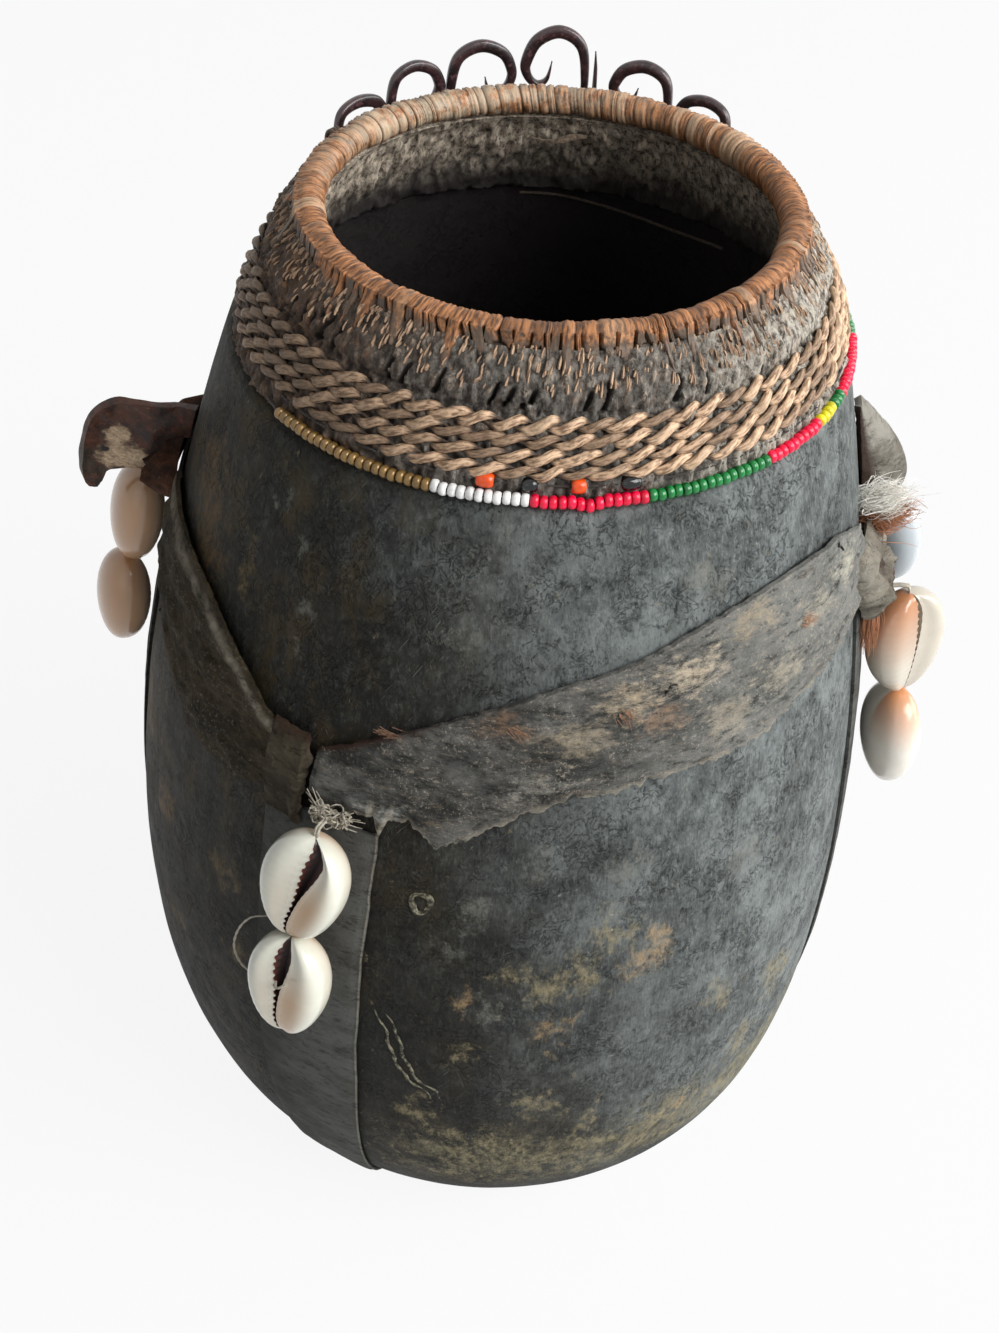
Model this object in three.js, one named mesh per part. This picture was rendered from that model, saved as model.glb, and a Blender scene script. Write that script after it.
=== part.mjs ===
// Beaded milk vessel: a tall dark body with a basketry collar, a bead string under the collar,
// a hide harness with hanging cowrie shells, and a scrolled crest behind the mouth.
// Millimetres, +Z up, origin on the ground under the middle of the base, front at -Y.
import * as THREE from "three";

// Clearances and layers
const CLEAR = 0.35; // between pieces that lie on each other
const HIDE = 1.6; // thickness of the harness hide

// Body
const PAD_THICK = 2.7;
const PAD_RADIUS = 36;
const BODY_BOTTOM = PAD_THICK + HIDE + 2 * CLEAR;
const MOUTH_HEIGHT = 212.4; // top of the body's own rim, under the collar
const NECK_RADIUS = 59.7; // outside, at the mouth height
const BELLY_RADIUS = 85;
const BELLY_HEIGHT = 70;
const FOOT_RADIUS = 62.6;
const WALL_POWER = 1.8; // how late the wall draws in towards the neck
const CORNER_POWER = 2.4; // how square the corner at the foot is
const WALL = 5.5;
const FLOOR = 9;
const SHOULDER_ROUND = 1.5;

// Collar, rim and the vessel's lean
const COLLAR_HEIGHT = 23.6;
const RIM_RADIUS = 44.5; // to the middle of the rim roll
const ROLL_RADIUS = 2.9;
const HOOP_RADIUS = 1.5;
const COLLAR_WALL = 3.4;
const COLLAR_POWER = 1.7;
const RIM_HEIGHT = MOUTH_HEIGHT + COLLAR_HEIGHT;
const MOUTH_LEAN = 1.9; // sideways, towards +X
const BELLY_LEAN = 2.9; // sideways, towards -X

// Twined cord round the collar
const CORD = 2;
const CORD_TURNS = 4;
const CORD_PITCH = 2.6;
const CORD_START = 6.2; // from the collar's foot to the lowest turn, along the collar
const CORD_START_AZ = 262;
const CORD_STEPS = 24;

// Seed beads and the larger beads above them
const BEAD = 2.2;
const BEAD_PITCH = 1.55;
const BEAD_WAIST = 0.68; // radius between two beads, as a share of the bead's
const BEAD_BORE = 1.1;
const BEAD_INSET = 0.2;
const THREAD = 0.6;
const STRING_START_AZ = -49.8;
const RUNS = [
  ["beads_gold_1", 22, 0xa8843a],
  ["beads_white_1", 11, 0xeeeeea],
  ["beads_red_1", 13, 0xd0173c],
  ["beads_green_1", 16, 0x0f6b35],
  ["beads_red_2", 10, 0xd0173c],
  ["beads_yellow_1", 4, 0xe8dc1c],
  ["beads_green_2", 3, 0x0f6b35],
  ["beads_red_3", 13, 0xd0173c],
  ["beads_green_3", 16, 0x0f6b35],
  ["beads_white_2", 11, 0xeeeeea],
  ["beads_gold_2", 22, 0xa8843a],
];
const LARGE_BEAD = 2.7;
const LARGE_BORE = 1.2;
const LARGE_RISE = 2.3; // above the seed beads' middle
const LARGE_INSET = 1.3; // inside the seed beads' ring
const LARGE_BEADS = [
  ["bead_orange_left", -8.2, 3.2, 0xf0641e],
  ["bead_black_middle", -0.8, 2.7, 0x101214],
  ["bead_orange_right", 7.2, 2.6, 0xf0641e],
  ["bead_black_right", 16, 3.6, 0x101214],
];

// Harness bands: azimuth, then the drop of the upper and lower edge below the mouth height
const BAND_FRONT_RIGHT = [
  [-25.6, 52.3, 65.9], [-19.7, 48, 64.8], [-12.5, 42.8, 62.8], [-8.3, 40, 68.4],
  [-3.7, 37.2, 64.2], [2.9, 33.8, 58.8], [10, 30.8, 55.2], [18.7, 28.1, 54.1],
  [28.5, 24, 53.9], [40, 21.5, 52.9], [49.4, 21.3, 49.6], [60, 22.9, 48.4],
  [71.6, 28.6, 45],
];
const BAND_FRONT_LEFT = [
  [-81.6, 34.6, 50], [-76, 34.6, 56], [-68, 35.4, 62], [-61, 36.6, 66.6], [-54.6, 38.2, 70],
  [-48, 42, 71.4], [-42.6, 46.1, 71.7], [-37, 51.3, 69.5], [-30.6, 54.4, 66],
];
const BAND_BACK_RIGHT = [
  [92.4, 28, 46], [110, 27, 52], [125, 35, 60], [140, 44, 67],
  [152, 52, 70], [162, 54, 69],
];
const BAND_BACK_LEFT = [
  [167, 54, 69], [178, 50, 71], [192, 41, 66], [206, 32, 58], [220, 26, 52],
  [234, 25, 49], [246, 29, 47], [256.4, 33, 45],
];
const BAND_STEP = 7; // most degrees between two rows of a band
// Upright straps: middle azimuth, drop of the top end, half width at the belly and at the foot
const STRAP_TOP_HALF = 12.6;
const STRAP_FOOT_HALF = 7.6;
const STRAP_INNER_END = 24;
const STRAPS = [
  ["strap_front", -25.8, 69.2],
  ["strap_left", -92.6, 37],
  ["strap_right", 82, 37],
  ["strap_back", 165, 72.6],
];
// Folds and knots that lie over the meeting ends: middle azimuth, half width in degrees,
// drop of the top and the bottom, greatest thickness
const FOLDS = [
  ["fold_front", -31.9, 3.8, 51.2, 73, 2.2],
  ["knot_left", -92.6, 13.4, 35, 46.6, 4.2],
  ["knot_right", 82, 12.8, 34.4, 54.4, 4.2],
  ["knot_back", 164.6, 7.5, 52, 76, 3],
];

// Stiff rawhide tab at the left knot, in the upright plane at its azimuth: standing off the
// wall and drop below the mouth height
const TAB_AZ = -90;
const TAB_THICK = 2.2;
const TAB = [
  [0.7, 26.4], [19.8, 25.8], [24.6, 29.4], [25.6, 36], [24.2, 43], [22.3, 47.8], [20, 47.6],
  [19.4, 43.2], [12.5, 42.4], [7.6, 41.6], [7.2, 33.6], [0.7, 33.4],
];
// Leather tail that arches off the right knot: middle line as stand-off and drop
const ARCH_AZ = 93;
const ARCH_WIDTH = 13;
const ARCH = [[7.6, 38], [10, 34], [11.2, 28.5], [9.4, 22], [5.2, 15.6], [1.7, 10.6], [1.2, 6.4]];
// Hair tufts at the right knot: azimuth, root and tip as stand-off and drop, root radius
const TUFTS = [
  ["hair_tuft_upper", 79, [0.9, 31.2], [14.6, 24.6], 3.4],
  ["hair_tuft_lower", 67.4, [4.2, 44], [4.4, 62], 2.4],
];

// Cowrie shells and their threads
const SHELL_THICK = 11.2;
const SHELL_BACK = 0.55; // share of the thickness behind the hanging line
// Outline of a shell from its upper end: share of the length, share of the half width
const SHELL_OUTLINE = [
  [0, 0.06], [0.022, 0.3], [0.08, 0.56], [0.2, 0.84], [0.38, 1], [0.57, 0.97], [0.74, 0.81],
  [0.88, 0.55], [0.97, 0.28], [1, 0.06],
];
const SLIT = 2;
const SLIT_DEPTH = 2.4;
const LINK = 1.2; // thickness of the thread link over a shell
const LINK_DROP = 1.2;
const LINK_SIDES = 6;
const SHELL_GAP = 0.3; // between a shell's end and the thread's pivot
const KNOT_HALF = [3.9, 2];
// Pendants: azimuth and drop of the hanging point, its stand-off and that of the knot's face,
// turn of the shells about their own length, then each shell's length, width and roll
const PENDANTS = [
  ["front", -23.2, 65.6, 8.6, 5.9, 0, [[26, 17.6, 5], [25.5, 17.1, -8]]],
  ["left", -93, 45.4, 7.9, 6.35, 160, [[25.5, 17, 0], [25, 17, 0]]],
  ["right", 81, 53.2, 10.2, 6.3, -42, [[27, 18.4, 0], [27.5, 18.2, 0]]],
];
const SPARE_SHELL = ["right_back", 98, 45, 9, 1.95, 20, [[25, 17, 0]]];

// Crest behind the rim: middle azimuth and half span of each scroll, height of its top above
// the rim's middle, and the side its tail curls from
const CREST_STRIP = 1;
const CREST_DEPTH = 1.8;
const CREST_BAND = 1.2;
const CREST_BAND_HEIGHT = 3.4;
const CREST_DROP = 7.2; // from the rim's middle down to the foot of the crest band
const SCROLLS = [
  ["scroll_left_outer", -134.8, 6.7, 0, 1],
  ["scroll_left_middle", -148.7, 6.7, 4.4, 1],
  ["scroll_left_inner", -163.6, 7.6, 6.9, 1],
  ["scroll_right_inner", 180.6, 7.4, 9.8, -1],
  ["scroll_right_middle", 161.6, 7.1, 4.8, -1],
  ["scroll_right_outer", 146.8, 6.6, 1, -1],
];
const SCROLL_LINE = [
  [1, 0], [1.02, 0.42], [0.74, 0.86], [0, 1], [-0.72, 0.86], [-1, 0.52],
  [-0.86, 0.2], [-0.4, 0.08], [-0.02, 0.2], [0.08, 0.5],
];
const LASHING_WIDTH = 2.6;
const LASHING_THICK = 1;
const CREST_END = 4; // degrees of band past the outer scrolls, where it is lashed

const DEG = Math.PI / 180;
const CIRCLE = 360;

// How far the axis leans sideways at a height
function lean(z) {
  const u = z / RIM_HEIGHT;
  return MOUTH_LEAN * u ** 3 - BELLY_LEAN * 6.75 * u * (1 - u) ** 2;
}

// A point at an azimuth (0 at the front, growing towards +X), radius and height
function at(az, r, z) {
  return new THREE.Vector3(lean(z) + r * Math.sin(az * DEG), -r * Math.cos(az * DEG), z);
}

// Outer radius of the body at a height
function bodyRadius(z) {
  if (z >= BELLY_HEIGHT) {
    const up = (z - BELLY_HEIGHT) / (MOUTH_HEIGHT - BELLY_HEIGHT);
    return BELLY_RADIUS - (BELLY_RADIUS - NECK_RADIUS) * up ** WALL_POWER;
  }
  const down = Math.min((BELLY_HEIGHT - z) / (BELLY_HEIGHT - BODY_BOTTOM), 1);
  const out = (1 - down ** CORNER_POWER) ** (1 / CORNER_POWER);
  return FOOT_RADIUS + (BELLY_RADIUS - FOOT_RADIUS) * out;
}

// The corner at the foot as an arc of a superellipse, turn 0 at the belly and 90 at the base
function corner(turn) {
  const power = 2 / CORNER_POWER;
  const out = Math.max(Math.cos(turn * DEG), 0) ** power;
  const down = Math.sin(turn * DEG) ** power;
  return [
    FOOT_RADIUS + (BELLY_RADIUS - FOOT_RADIUS) * out,
    BELLY_HEIGHT - (BELLY_HEIGHT - BODY_BOTTOM) * down,
  ];
}

// A point a lift away from the body's wall, square to it in the upright plane
function onWall(az, z, lift) {
  const step = 0.5;
  const slope = (bodyRadius(z + step) - bodyRadius(z - step)) / (2 * step);
  const n = 1 / Math.hypot(1, slope);
  return at(az, bodyRadius(z) + lift * n, z - lift * slope * n);
}

// Outer radius of the collar at a height above the mouth, and a point along that outline
function collarRadius(h) {
  const outer = RIM_RADIUS + ROLL_RADIUS;
  return NECK_RADIUS - (NECK_RADIUS - outer) * (h / COLLAR_HEIGHT) ** COLLAR_POWER;
}
function alongCollar(length, inset) {
  const step = 0.05;
  let h = 0;
  for (let gone = 0; gone < length; h += step)
    gone += Math.hypot(step, collarRadius(h + step) - collarRadius(h));
  const slope = (collarRadius(h + step) - collarRadius(h)) / step;
  const n = 1 / Math.hypot(1, slope);
  return [collarRadius(h) - inset * n, MOUTH_HEIGHT + h + inset * slope * n];
}

// Closed solid through a list of rings with the same even count of points; the ends are
// closed by strips between facing points, or the last ring meets the first in a loop
function loft(rings, loop = false) {
  const n = rings[0].length;
  const index = [];
  const links = loop ? rings.length : rings.length - 1;
  for (let i = 0; i < links; i++)
    for (let k = 0; k < n; k++) {
      const a = i * n + k;
      const b = i * n + ((k + 1) % n);
      const c = ((i + 1) % rings.length) * n + ((k + 1) % n);
      const d = ((i + 1) % rings.length) * n + k;
      index.push(a, b, c, a, c, d);
    }
  const cap = (first, flip) => {
    for (let k = 0; k < n / 2 - 1; k++) {
      const quad = [k, k + 1, n - 2 - k, n - 1 - k].map((v) => first + v);
      if (flip) quad.reverse();
      index.push(quad[0], quad[2], quad[1], quad[0], quad[3], quad[2]);
    }
  };
  if (!loop) {
    cap(0, false);
    cap((rings.length - 1) * n, true);
  }
  const points = rings.flat();
  return facingOut(points, index);
}

// Geometry from points and triangles, turned so that its faces point out
function facingOut(points, index) {
  let volume = 0;
  for (let i = 0; i < index.length; i += 3) {
    const [a, b, c] = [points[index[i]], points[index[i + 1]], points[index[i + 2]]];
    volume += a.dot(b.clone().cross(c));
  }
  if (volume < 0) index.reverse();
  const g = new THREE.BufferGeometry().setFromPoints(points);
  g.setIndex(index);
  g.computeVertexNormals();
  return g;
}

// A section given as radius and height, carried round the leaning axis
function turned(section, steps) {
  const rings = [];
  for (let i = 0; i < steps; i++)
    rings.push(section.map(([r, z]) => at((i * CIRCLE) / steps, r, z)));
  return loft(rings, true);
}

// A round profile from axis to axis on the leaning axis
function lathed(profile, steps) {
  const g = new THREE.LatheGeometry(profile.map(([r, z]) => new THREE.Vector2(r, z)), steps);
  g.rotateX(Math.PI / 2);
  const p = g.getAttribute("position");
  for (let i = 0; i < p.count; i++) p.setX(i, p.getX(i) + lean(p.getZ(i)));
  g.deleteAttribute("uv");
  return g;
}

// A circle of points in the upright plane at an azimuth
function ringAt(az, r, z, radius, sides, turn = 0) {
  const ring = [];
  for (let k = 0; k < sides; k++) {
    const a = ((k + turn) * 2 * Math.PI) / sides;
    ring.push(at(az, r + radius * Math.cos(a), z + radius * Math.sin(a)));
  }
  return ring;
}

// A strip of hide: each row is a line of points on its outer face and one on its inner face
function hide(rows) {
  return loft(rows.map(([outer, inner]) => [...outer, ...inner.reverse()]));
}

// A ribbon that follows a middle line in one plane; place puts line, offset and width
// into the part's own space
function ribbon(line, thick, half, place) {
  const rings = line.map(([u, v], i) => {
    const [pu, pv] = line[Math.max(i - 1, 0)];
    const [nu, nv] = line[Math.min(i + 1, line.length - 1)];
    const long = Math.hypot(nu - pu, nv - pv);
    const t = thick(i / (line.length - 1)) / 2;
    const [ou, ov] = [(-(nv - pv) / long) * t, ((nu - pu) / long) * t];
    return [
      place(u + ou, v + ov, half), place(u - ou, v - ov, half),
      place(u - ou, v - ov, -half), place(u + ou, v + ov, -half),
    ];
  });
  return loft(rings);
}

// A smooth line through a few points in a plane
function smooth(points, steps) {
  const curve = new THREE.CatmullRomCurve3(points.map(([u, v]) => new THREE.Vector3(u, v, 0)));
  return curve.getPoints(steps).map((p) => [p.x, p.y]);
}

const vessel = new THREE.Group();

function add(name, geometry, color, roughness = 0.8, metalness = 0, parent = vessel) {
  const material = new THREE.MeshStandardMaterial({ color, roughness, metalness });
  const mesh = new THREE.Mesh(geometry, material);
  mesh.name = name;
  parent.add(mesh);
  return mesh;
}

// Body, a deep cup with a rounded foot
function makeBody() {
  const steps = 56;
  const outside = [[0, BODY_BOTTOM]];
  for (const turn of [90, 68, 48, 30, 14, 0]) outside.push(corner(turn));
  const top = MOUTH_HEIGHT - SHOULDER_ROUND;
  const rises = 6;
  for (let i = 1; i <= rises; i++) {
    const z = BELLY_HEIGHT + ((top - BELLY_HEIGHT) * i) / rises;
    outside.push([bodyRadius(z), z]);
  }
  outside.push([NECK_RADIUS - SHOULDER_ROUND, MOUTH_HEIGHT]);
  const inside = [[NECK_RADIUS - WALL, MOUTH_HEIGHT]];
  for (const share of [0.72, 0.4]) {
    const z = BELLY_HEIGHT + (top - BELLY_HEIGHT) * share;
    inside.push([bodyRadius(z) - WALL, z]);
  }
  inside.push([BELLY_RADIUS - WALL, BELLY_HEIGHT]);
  const floor = BODY_BOTTOM + FLOOR;
  inside.push([corner(32)[0] - WALL, corner(32)[1] + WALL / 2]);
  inside.push([FOOT_RADIUS - WALL, floor]);
  inside.push([0, floor]);
  add("vessel_body", lathed([...outside, ...inside], steps), 0x2b2c2c, 0.75);
}

// Disc of hide under the base, where the upright straps are sewn down
function makePad() {
  const profile = [[0, 0], [PAD_RADIUS, 0], [PAD_RADIUS, PAD_THICK], [0, PAD_THICK]];
  add("base_pad", lathed(profile, 32), 0x2f2925, 0.85);
}

// Basketry collar: recessed for the cord, with a cradle for the rim roll on top
function makeCollar() {
  const steps = 48;
  const sag = collarRadius(0) * (1 - Math.cos(Math.PI / CORD_STEPS));
  const recess = CORD + CLEAR + sag;
  const foot = MOUTH_HEIGHT + CLEAR;
  const lastTurn = CORD_START + CORD_TURNS * CORD_PITCH + CORD / 2;
  const section = [[alongCollar(CLEAR, recess)[0], foot]];
  for (const share of [0.3, 0.62]) section.push(alongCollar(lastTurn * share, recess));
  section.push(alongCollar(lastTurn + CLEAR, recess));
  section.push(alongCollar(lastTurn + CLEAR, 0));
  const cradle = ROLL_RADIUS + CLEAR;
  const lip = -20 * DEG;
  const lipHeight = COLLAR_HEIGHT + cradle * Math.sin(lip);
  const middle = (lipHeight + alongCollar(lastTurn, 0)[1] - MOUTH_HEIGHT) / 2;
  section.push([collarRadius(middle), MOUTH_HEIGHT + middle]);
  section.push([collarRadius(lipHeight), MOUTH_HEIGHT + lipHeight]);
  for (const turn of [lip, -58 * DEG, -96 * DEG, -134 * DEG])
    section.push([RIM_RADIUS + cradle * Math.cos(turn), RIM_HEIGHT + cradle * Math.sin(turn)]);
  section.push([alongCollar(lastTurn, recess)[0] - COLLAR_WALL, alongCollar(lastTurn, 0)[1]]);
  section.push([section[0][0] - COLLAR_WALL, foot]);
  add("collar_wall", turned(section, steps), 0x4a4038, 0.9);
}

// Rim: a hoop of withy inside a wrapped binding that is open towards the collar
function makeRim() {
  const steps = 48;
  const hoop = [];
  for (let k = 0; k < 6; k++) {
    const a = (k * CIRCLE * DEG) / 6;
    hoop.push([RIM_RADIUS + HOOP_RADIUS * Math.cos(a), RIM_HEIGHT + HOOP_RADIUS * Math.sin(a)]);
  }
  add("rim_hoop", turned(hoop, steps), 0x6b4a2c, 0.8);
  const outer = [];
  const inner = [];
  const bore = (HOOP_RADIUS + CLEAR) / Math.cos(30 * DEG);
  for (let k = 0; k <= 5; k++) {
    const a = (-58 + (k * 296) / 5) * DEG;
    outer.push([RIM_RADIUS + ROLL_RADIUS * Math.cos(a), RIM_HEIGHT + ROLL_RADIUS * Math.sin(a)]);
    inner.push([RIM_RADIUS + bore * Math.cos(a), RIM_HEIGHT + bore * Math.sin(a)]);
  }
  add("rim_binding", turned([...outer, ...inner.reverse()], steps), 0x7c5733, 0.7);
}

// Cord wound round the collar in one unbroken run
function makeWinding() {
  const count = CORD_TURNS * CORD_STEPS;
  const rings = [];
  const middles = [];
  for (let i = 0; i <= count; i++) {
    const [r, z] = alongCollar(CORD_START + (CORD_PITCH * i) / CORD_STEPS, CORD / 2);
    const az = CORD_START_AZ + (i * CIRCLE) / CORD_STEPS;
    rings.push(ringAt(az, r, z, CORD / 2, 6));
    middles.push(at(az, r, z));
  }
  let least = Infinity;
  for (let i = 0; i <= count; i++)
    for (let j = i + CORD_STEPS / 2; j <= count; j++)
      least = Math.min(least, middles[i].distanceTo(middles[j]) - CORD);
  console.log("least gap of the collar cord to itself: " + least.toFixed(2) + " mm");
  add("collar_cord", loft(rings), 0x8a7358, 0.8);
}

// Seed beads: runs of one colour each, ribbed and bored, on one thread
const beadRing = NECK_RADIUS - BEAD_INSET;
const beadHeight = MOUTH_HEIGHT + CLEAR + BEAD / 2;
const degreesPerMm = 1 / (beadRing * DEG);
function makeSeedBeads() {
  let start = STRING_START_AZ;
  for (const [name, count, color] of RUNS) {
    const end = start + count * BEAD_PITCH * degreesPerMm;
    const trim = (CLEAR / 2) * degreesPerMm;
    const [from, to] = [start + trim, end - trim];
    const outer = [];
    for (let i = 0; i <= 2 * count; i++) {
      const radius = (BEAD / 2) * (i % 2 ? 1 : BEAD_WAIST);
      outer.push(ringAt(from + ((to - from) * i) / (2 * count), beadRing, beadHeight, radius, 6));
    }
    const inner = [];
    const bores = Math.ceil(count / 5);
    for (let i = 0; i <= bores; i++) {
      const az = from + ((to - from) * i) / bores;
      inner.push(ringAt(az, beadRing, beadHeight, BEAD_BORE / 2, 6));
    }
    add(name, bored(outer, inner), color, 0.35);
    start = end;
  }
  const thread = [];
  const steps = 60;
  for (let i = 0; i < steps; i++)
    thread.push(ringAt((i * CIRCLE) / steps, beadRing, beadHeight, THREAD / 2, 4, 0.5));
  add("bead_thread", loft(thread, true), 0xb8b2a4, 0.9);
}

// A tube with a bore: two lofts of rings joined at both ends
function bored(outer, inner) {
  const n = outer[0].length;
  const points = [...outer.flat(), ...inner.flat()];
  const index = [];
  const wall = (first, rings, flip) => {
    for (let i = 0; i < rings - 1; i++)
      for (let k = 0; k < n; k++) {
        const a = first + i * n + k;
        const b = first + i * n + ((k + 1) % n);
        const quad = flip ? [a, a + n, b + n, b] : [a, b, b + n, a + n];
        index.push(quad[0], quad[1], quad[2], quad[0], quad[2], quad[3]);
      }
  };
  const bore = outer.length * n;
  wall(0, outer.length, false);
  wall(bore, inner.length, true);
  const ends = [[0, bore, true], [(outer.length - 1) * n, bore + (inner.length - 1) * n, false]];
  for (const [o, i, flip] of ends)
    for (let k = 0; k < n; k++) {
      const next = (k + 1) % n;
      const quad = flip
        ? [o + k, i + k, i + next, o + next]
        : [o + k, o + next, i + next, i + k];
      index.push(quad[0], quad[1], quad[2], quad[0], quad[2], quad[3]);
    }
  return facingOut(points, index);
}

// Larger beads on a second thread, tucked between the seed beads and the cord
function makeLargeBeads() {
  const ring = beadRing - LARGE_INSET;
  const height = beadHeight + LARGE_RISE;
  for (const [name, az, length, color] of LARGE_BEADS) {
    const half = (length / 2 / ring) / DEG;
    const outer = [-1, -0.6, 0.6, 1].map((share) => {
      const radius = (LARGE_BEAD / 2) * (Math.abs(share) === 1 ? 0.72 : 1);
      return ringAt(az + half * share, ring, height, radius, 8);
    });
    const inner = [-1, 1].map((s) => ringAt(az + half * s, ring, height, LARGE_BORE / 2, 8));
    add(name, bored(outer, inner), color, 0.3);
  }
  const steps = 48;
  const thread = [];
  for (let i = 0; i < steps; i++)
    thread.push(ringAt((i * CIRCLE) / steps, ring, height, THREAD / 2, 4, 0.5));
  add("large_bead_thread", loft(thread, true), 0x2a2622, 0.9);
}

// A band of the harness between an upper and a lower edge
function makeBand(name, stations, color) {
  const across = 3;
  const rows = [];
  for (let i = 0; i < stations.length; i++) {
    const here = stations[i];
    const next = stations[i + 1];
    const parts = next ? Math.ceil((next[0] - here[0]) / BAND_STEP) : 1;
    for (let p = 0; p < parts; p++) {
      const [az, high, low] = here.map((v, k) => (next ? v + ((next[k] - v) * p) / parts : v));
      const line = (lift) => {
        const points = [];
        for (let j = 0; j <= across; j++)
          points.push(onWall(az, MOUTH_HEIGHT - high - ((low - high) * j) / across, lift));
        return points;
      };
      rows.push([line(CLEAR + HIDE), line(CLEAR)]);
    }
  }
  add(name, hide(rows), color, 0.9);
}

// An upright strap: down the wall, round the foot and in under the base to the pad
function makeStrap(name, az, drop) {
  const across = 3;
  const rows = [];
  const row = (place, half, radius) => {
    const line = (lift) => {
      const points = [];
      for (let j = 0; j <= across; j++) {
        const side = (2 * j) / across - 1;
        points.push(place(az + Math.asin((side * half) / radius) / DEG, lift));
      }
      return points;
    };
    rows.push([line(CLEAR + HIDE), line(CLEAR)]);
  };
  const top = MOUTH_HEIGHT - drop;
  const falls = 5;
  for (let i = 0; i <= falls; i++) {
    const z = top + ((BELLY_HEIGHT - top) * i) / falls;
    row((a, lift) => onWall(a, z, lift), STRAP_TOP_HALF, bodyRadius(z));
  }
  for (const turn of [12, 24, 36, 48, 60, 72, 82]) {
    const [r, z] = corner(turn);
    const half = STRAP_TOP_HALF + ((STRAP_FOOT_HALF - STRAP_TOP_HALF) * turn) / 90;
    row((a, lift) => offCorner(a, turn, lift), half, r);
  }
  for (const share of [0, 0.5, 1]) {
    const r = FOOT_RADIUS + (STRAP_INNER_END - FOOT_RADIUS) * share;
    row((a, lift) => at(a, r, BODY_BOTTOM - lift), STRAP_FOOT_HALF, r);
  }
  add(name, hide(rows), 0x35312c, 0.9);
}

// A point a lift away from the rounded foot, square to it
function offCorner(az, turn, lift) {
  const step = 0.5;
  const [r0, z0] = corner(turn - step);
  const [r1, z1] = corner(turn + step);
  const [r, z] = corner(turn);
  const n = Math.hypot(r1 - r0, z1 - z0);
  return at(az, r + (lift * (z0 - z1)) / n, z - (lift * (r0 - r1)) / n);
}

// A folded lump of hide over the ends that meet at a joint of the harness
function makeFold(name, az, half, high, low, thick) {
  const across = 3;
  const downs = 5;
  const rows = [];
  const under = 2 * CLEAR + HIDE;
  for (let i = 0; i <= downs; i++) {
    const t = i / downs;
    const z = MOUTH_HEIGHT - high - (low - high) * t;
    const wide = half * (0.72 + 0.28 * Math.sin(Math.PI * (0.15 + 0.7 * t)));
    const line = (lift) => {
      const points = [];
      for (let j = 0; j <= across; j++)
        points.push(onWall(az + wide * ((2 * j) / across - 1), z, lift(j)));
      return points;
    };
    const swell = Math.sin(Math.PI * (0.14 + 0.5 * t));
    const over = (j) => under + thick * swell * (j === 0 || j === across ? 0.45 : 1);
    rows.push([line(over), line(() => under)]);
  }
  add(name, hide(rows), 0x453b33, 0.9);
}

// Stiff tab that stands out from the left knot, its end hooked down
function makeTab() {
  const edge = TAB.map(([off, drop]) => {
    const z = MOUTH_HEIGHT - drop;
    return [bodyRadius(z) + off, z];
  });
  const across = new THREE.Vector3(Math.cos(TAB_AZ * DEG), Math.sin(TAB_AZ * DEG), 0);
  const side = (s) => edge.map(([r, z]) =>
    at(TAB_AZ, r, z).addScaledVector(across, (s * TAB_THICK) / 2));
  const flat = THREE.ShapeUtils.triangulateShape(edge.map(([r, z]) => new THREE.Vector2(r, z)), []);
  const n = edge.length;
  const index = [];
  for (const [a, b, c] of flat) index.push(a, b, c, a + n, c + n, b + n);
  for (let k = 0; k < n; k++) {
    const next = (k + 1) % n;
    index.push(k, next, k + n, next, next + n, k + n);
  }
  add("tab_left", facingOut([...side(-1), ...side(1)], index), 0x3a211b, 0.6);
}

// Leather tail that leaves the right knot, stands off and touches the wall again higher up
function makeArch() {
  const line = smooth(ARCH, 12).map(([off, drop]) => {
    const z = MOUTH_HEIGHT - drop;
    return [bodyRadius(z) + off, z];
  });
  const across = new THREE.Vector3(Math.cos(ARCH_AZ * DEG), Math.sin(ARCH_AZ * DEG), 0);
  const place = (r, z, w) => at(ARCH_AZ, r, z).addScaledVector(across, w);
  add("arch_right", ribbon(line, () => HIDE, ARCH_WIDTH / 2, place), 0x6e675f, 0.9);
}

// A tapering tuft of hair from its root to its tip
function makeTuft(name, az, root, tip, radius) {
  const spot = ([off, drop]) => {
    const z = MOUTH_HEIGHT - drop;
    return [bodyRadius(z) + off, z];
  };
  const [r0, z0] = spot(root);
  const [r1, z1] = spot(tip);
  const long = Math.hypot(r1 - r0, z1 - z0);
  const [nu, nv] = [(z1 - z0) / long, -(r1 - r0) / long];
  const across = new THREE.Vector3(Math.cos(az * DEG), Math.sin(az * DEG), 0);
  const rings = [[0, 0.6], [0.25, 1], [0.65, 0.75], [1, 0.25]].map(([t, share]) => {
    const ring = [];
    for (let k = 0; k < 6; k++) {
      const a = (k * CIRCLE * DEG) / 6;
      const [u, v] = [radius * share * Math.cos(a), radius * share * Math.sin(a)];
      const p = at(az, r0 + (r1 - r0) * t + u * nu, z0 + (z1 - z0) * t + u * nv);
      ring.push(p.addScaledVector(across, v));
    }
    return ring;
  });
  add(name, loft(rings), 0x8f6a4c, 1);
}

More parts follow.
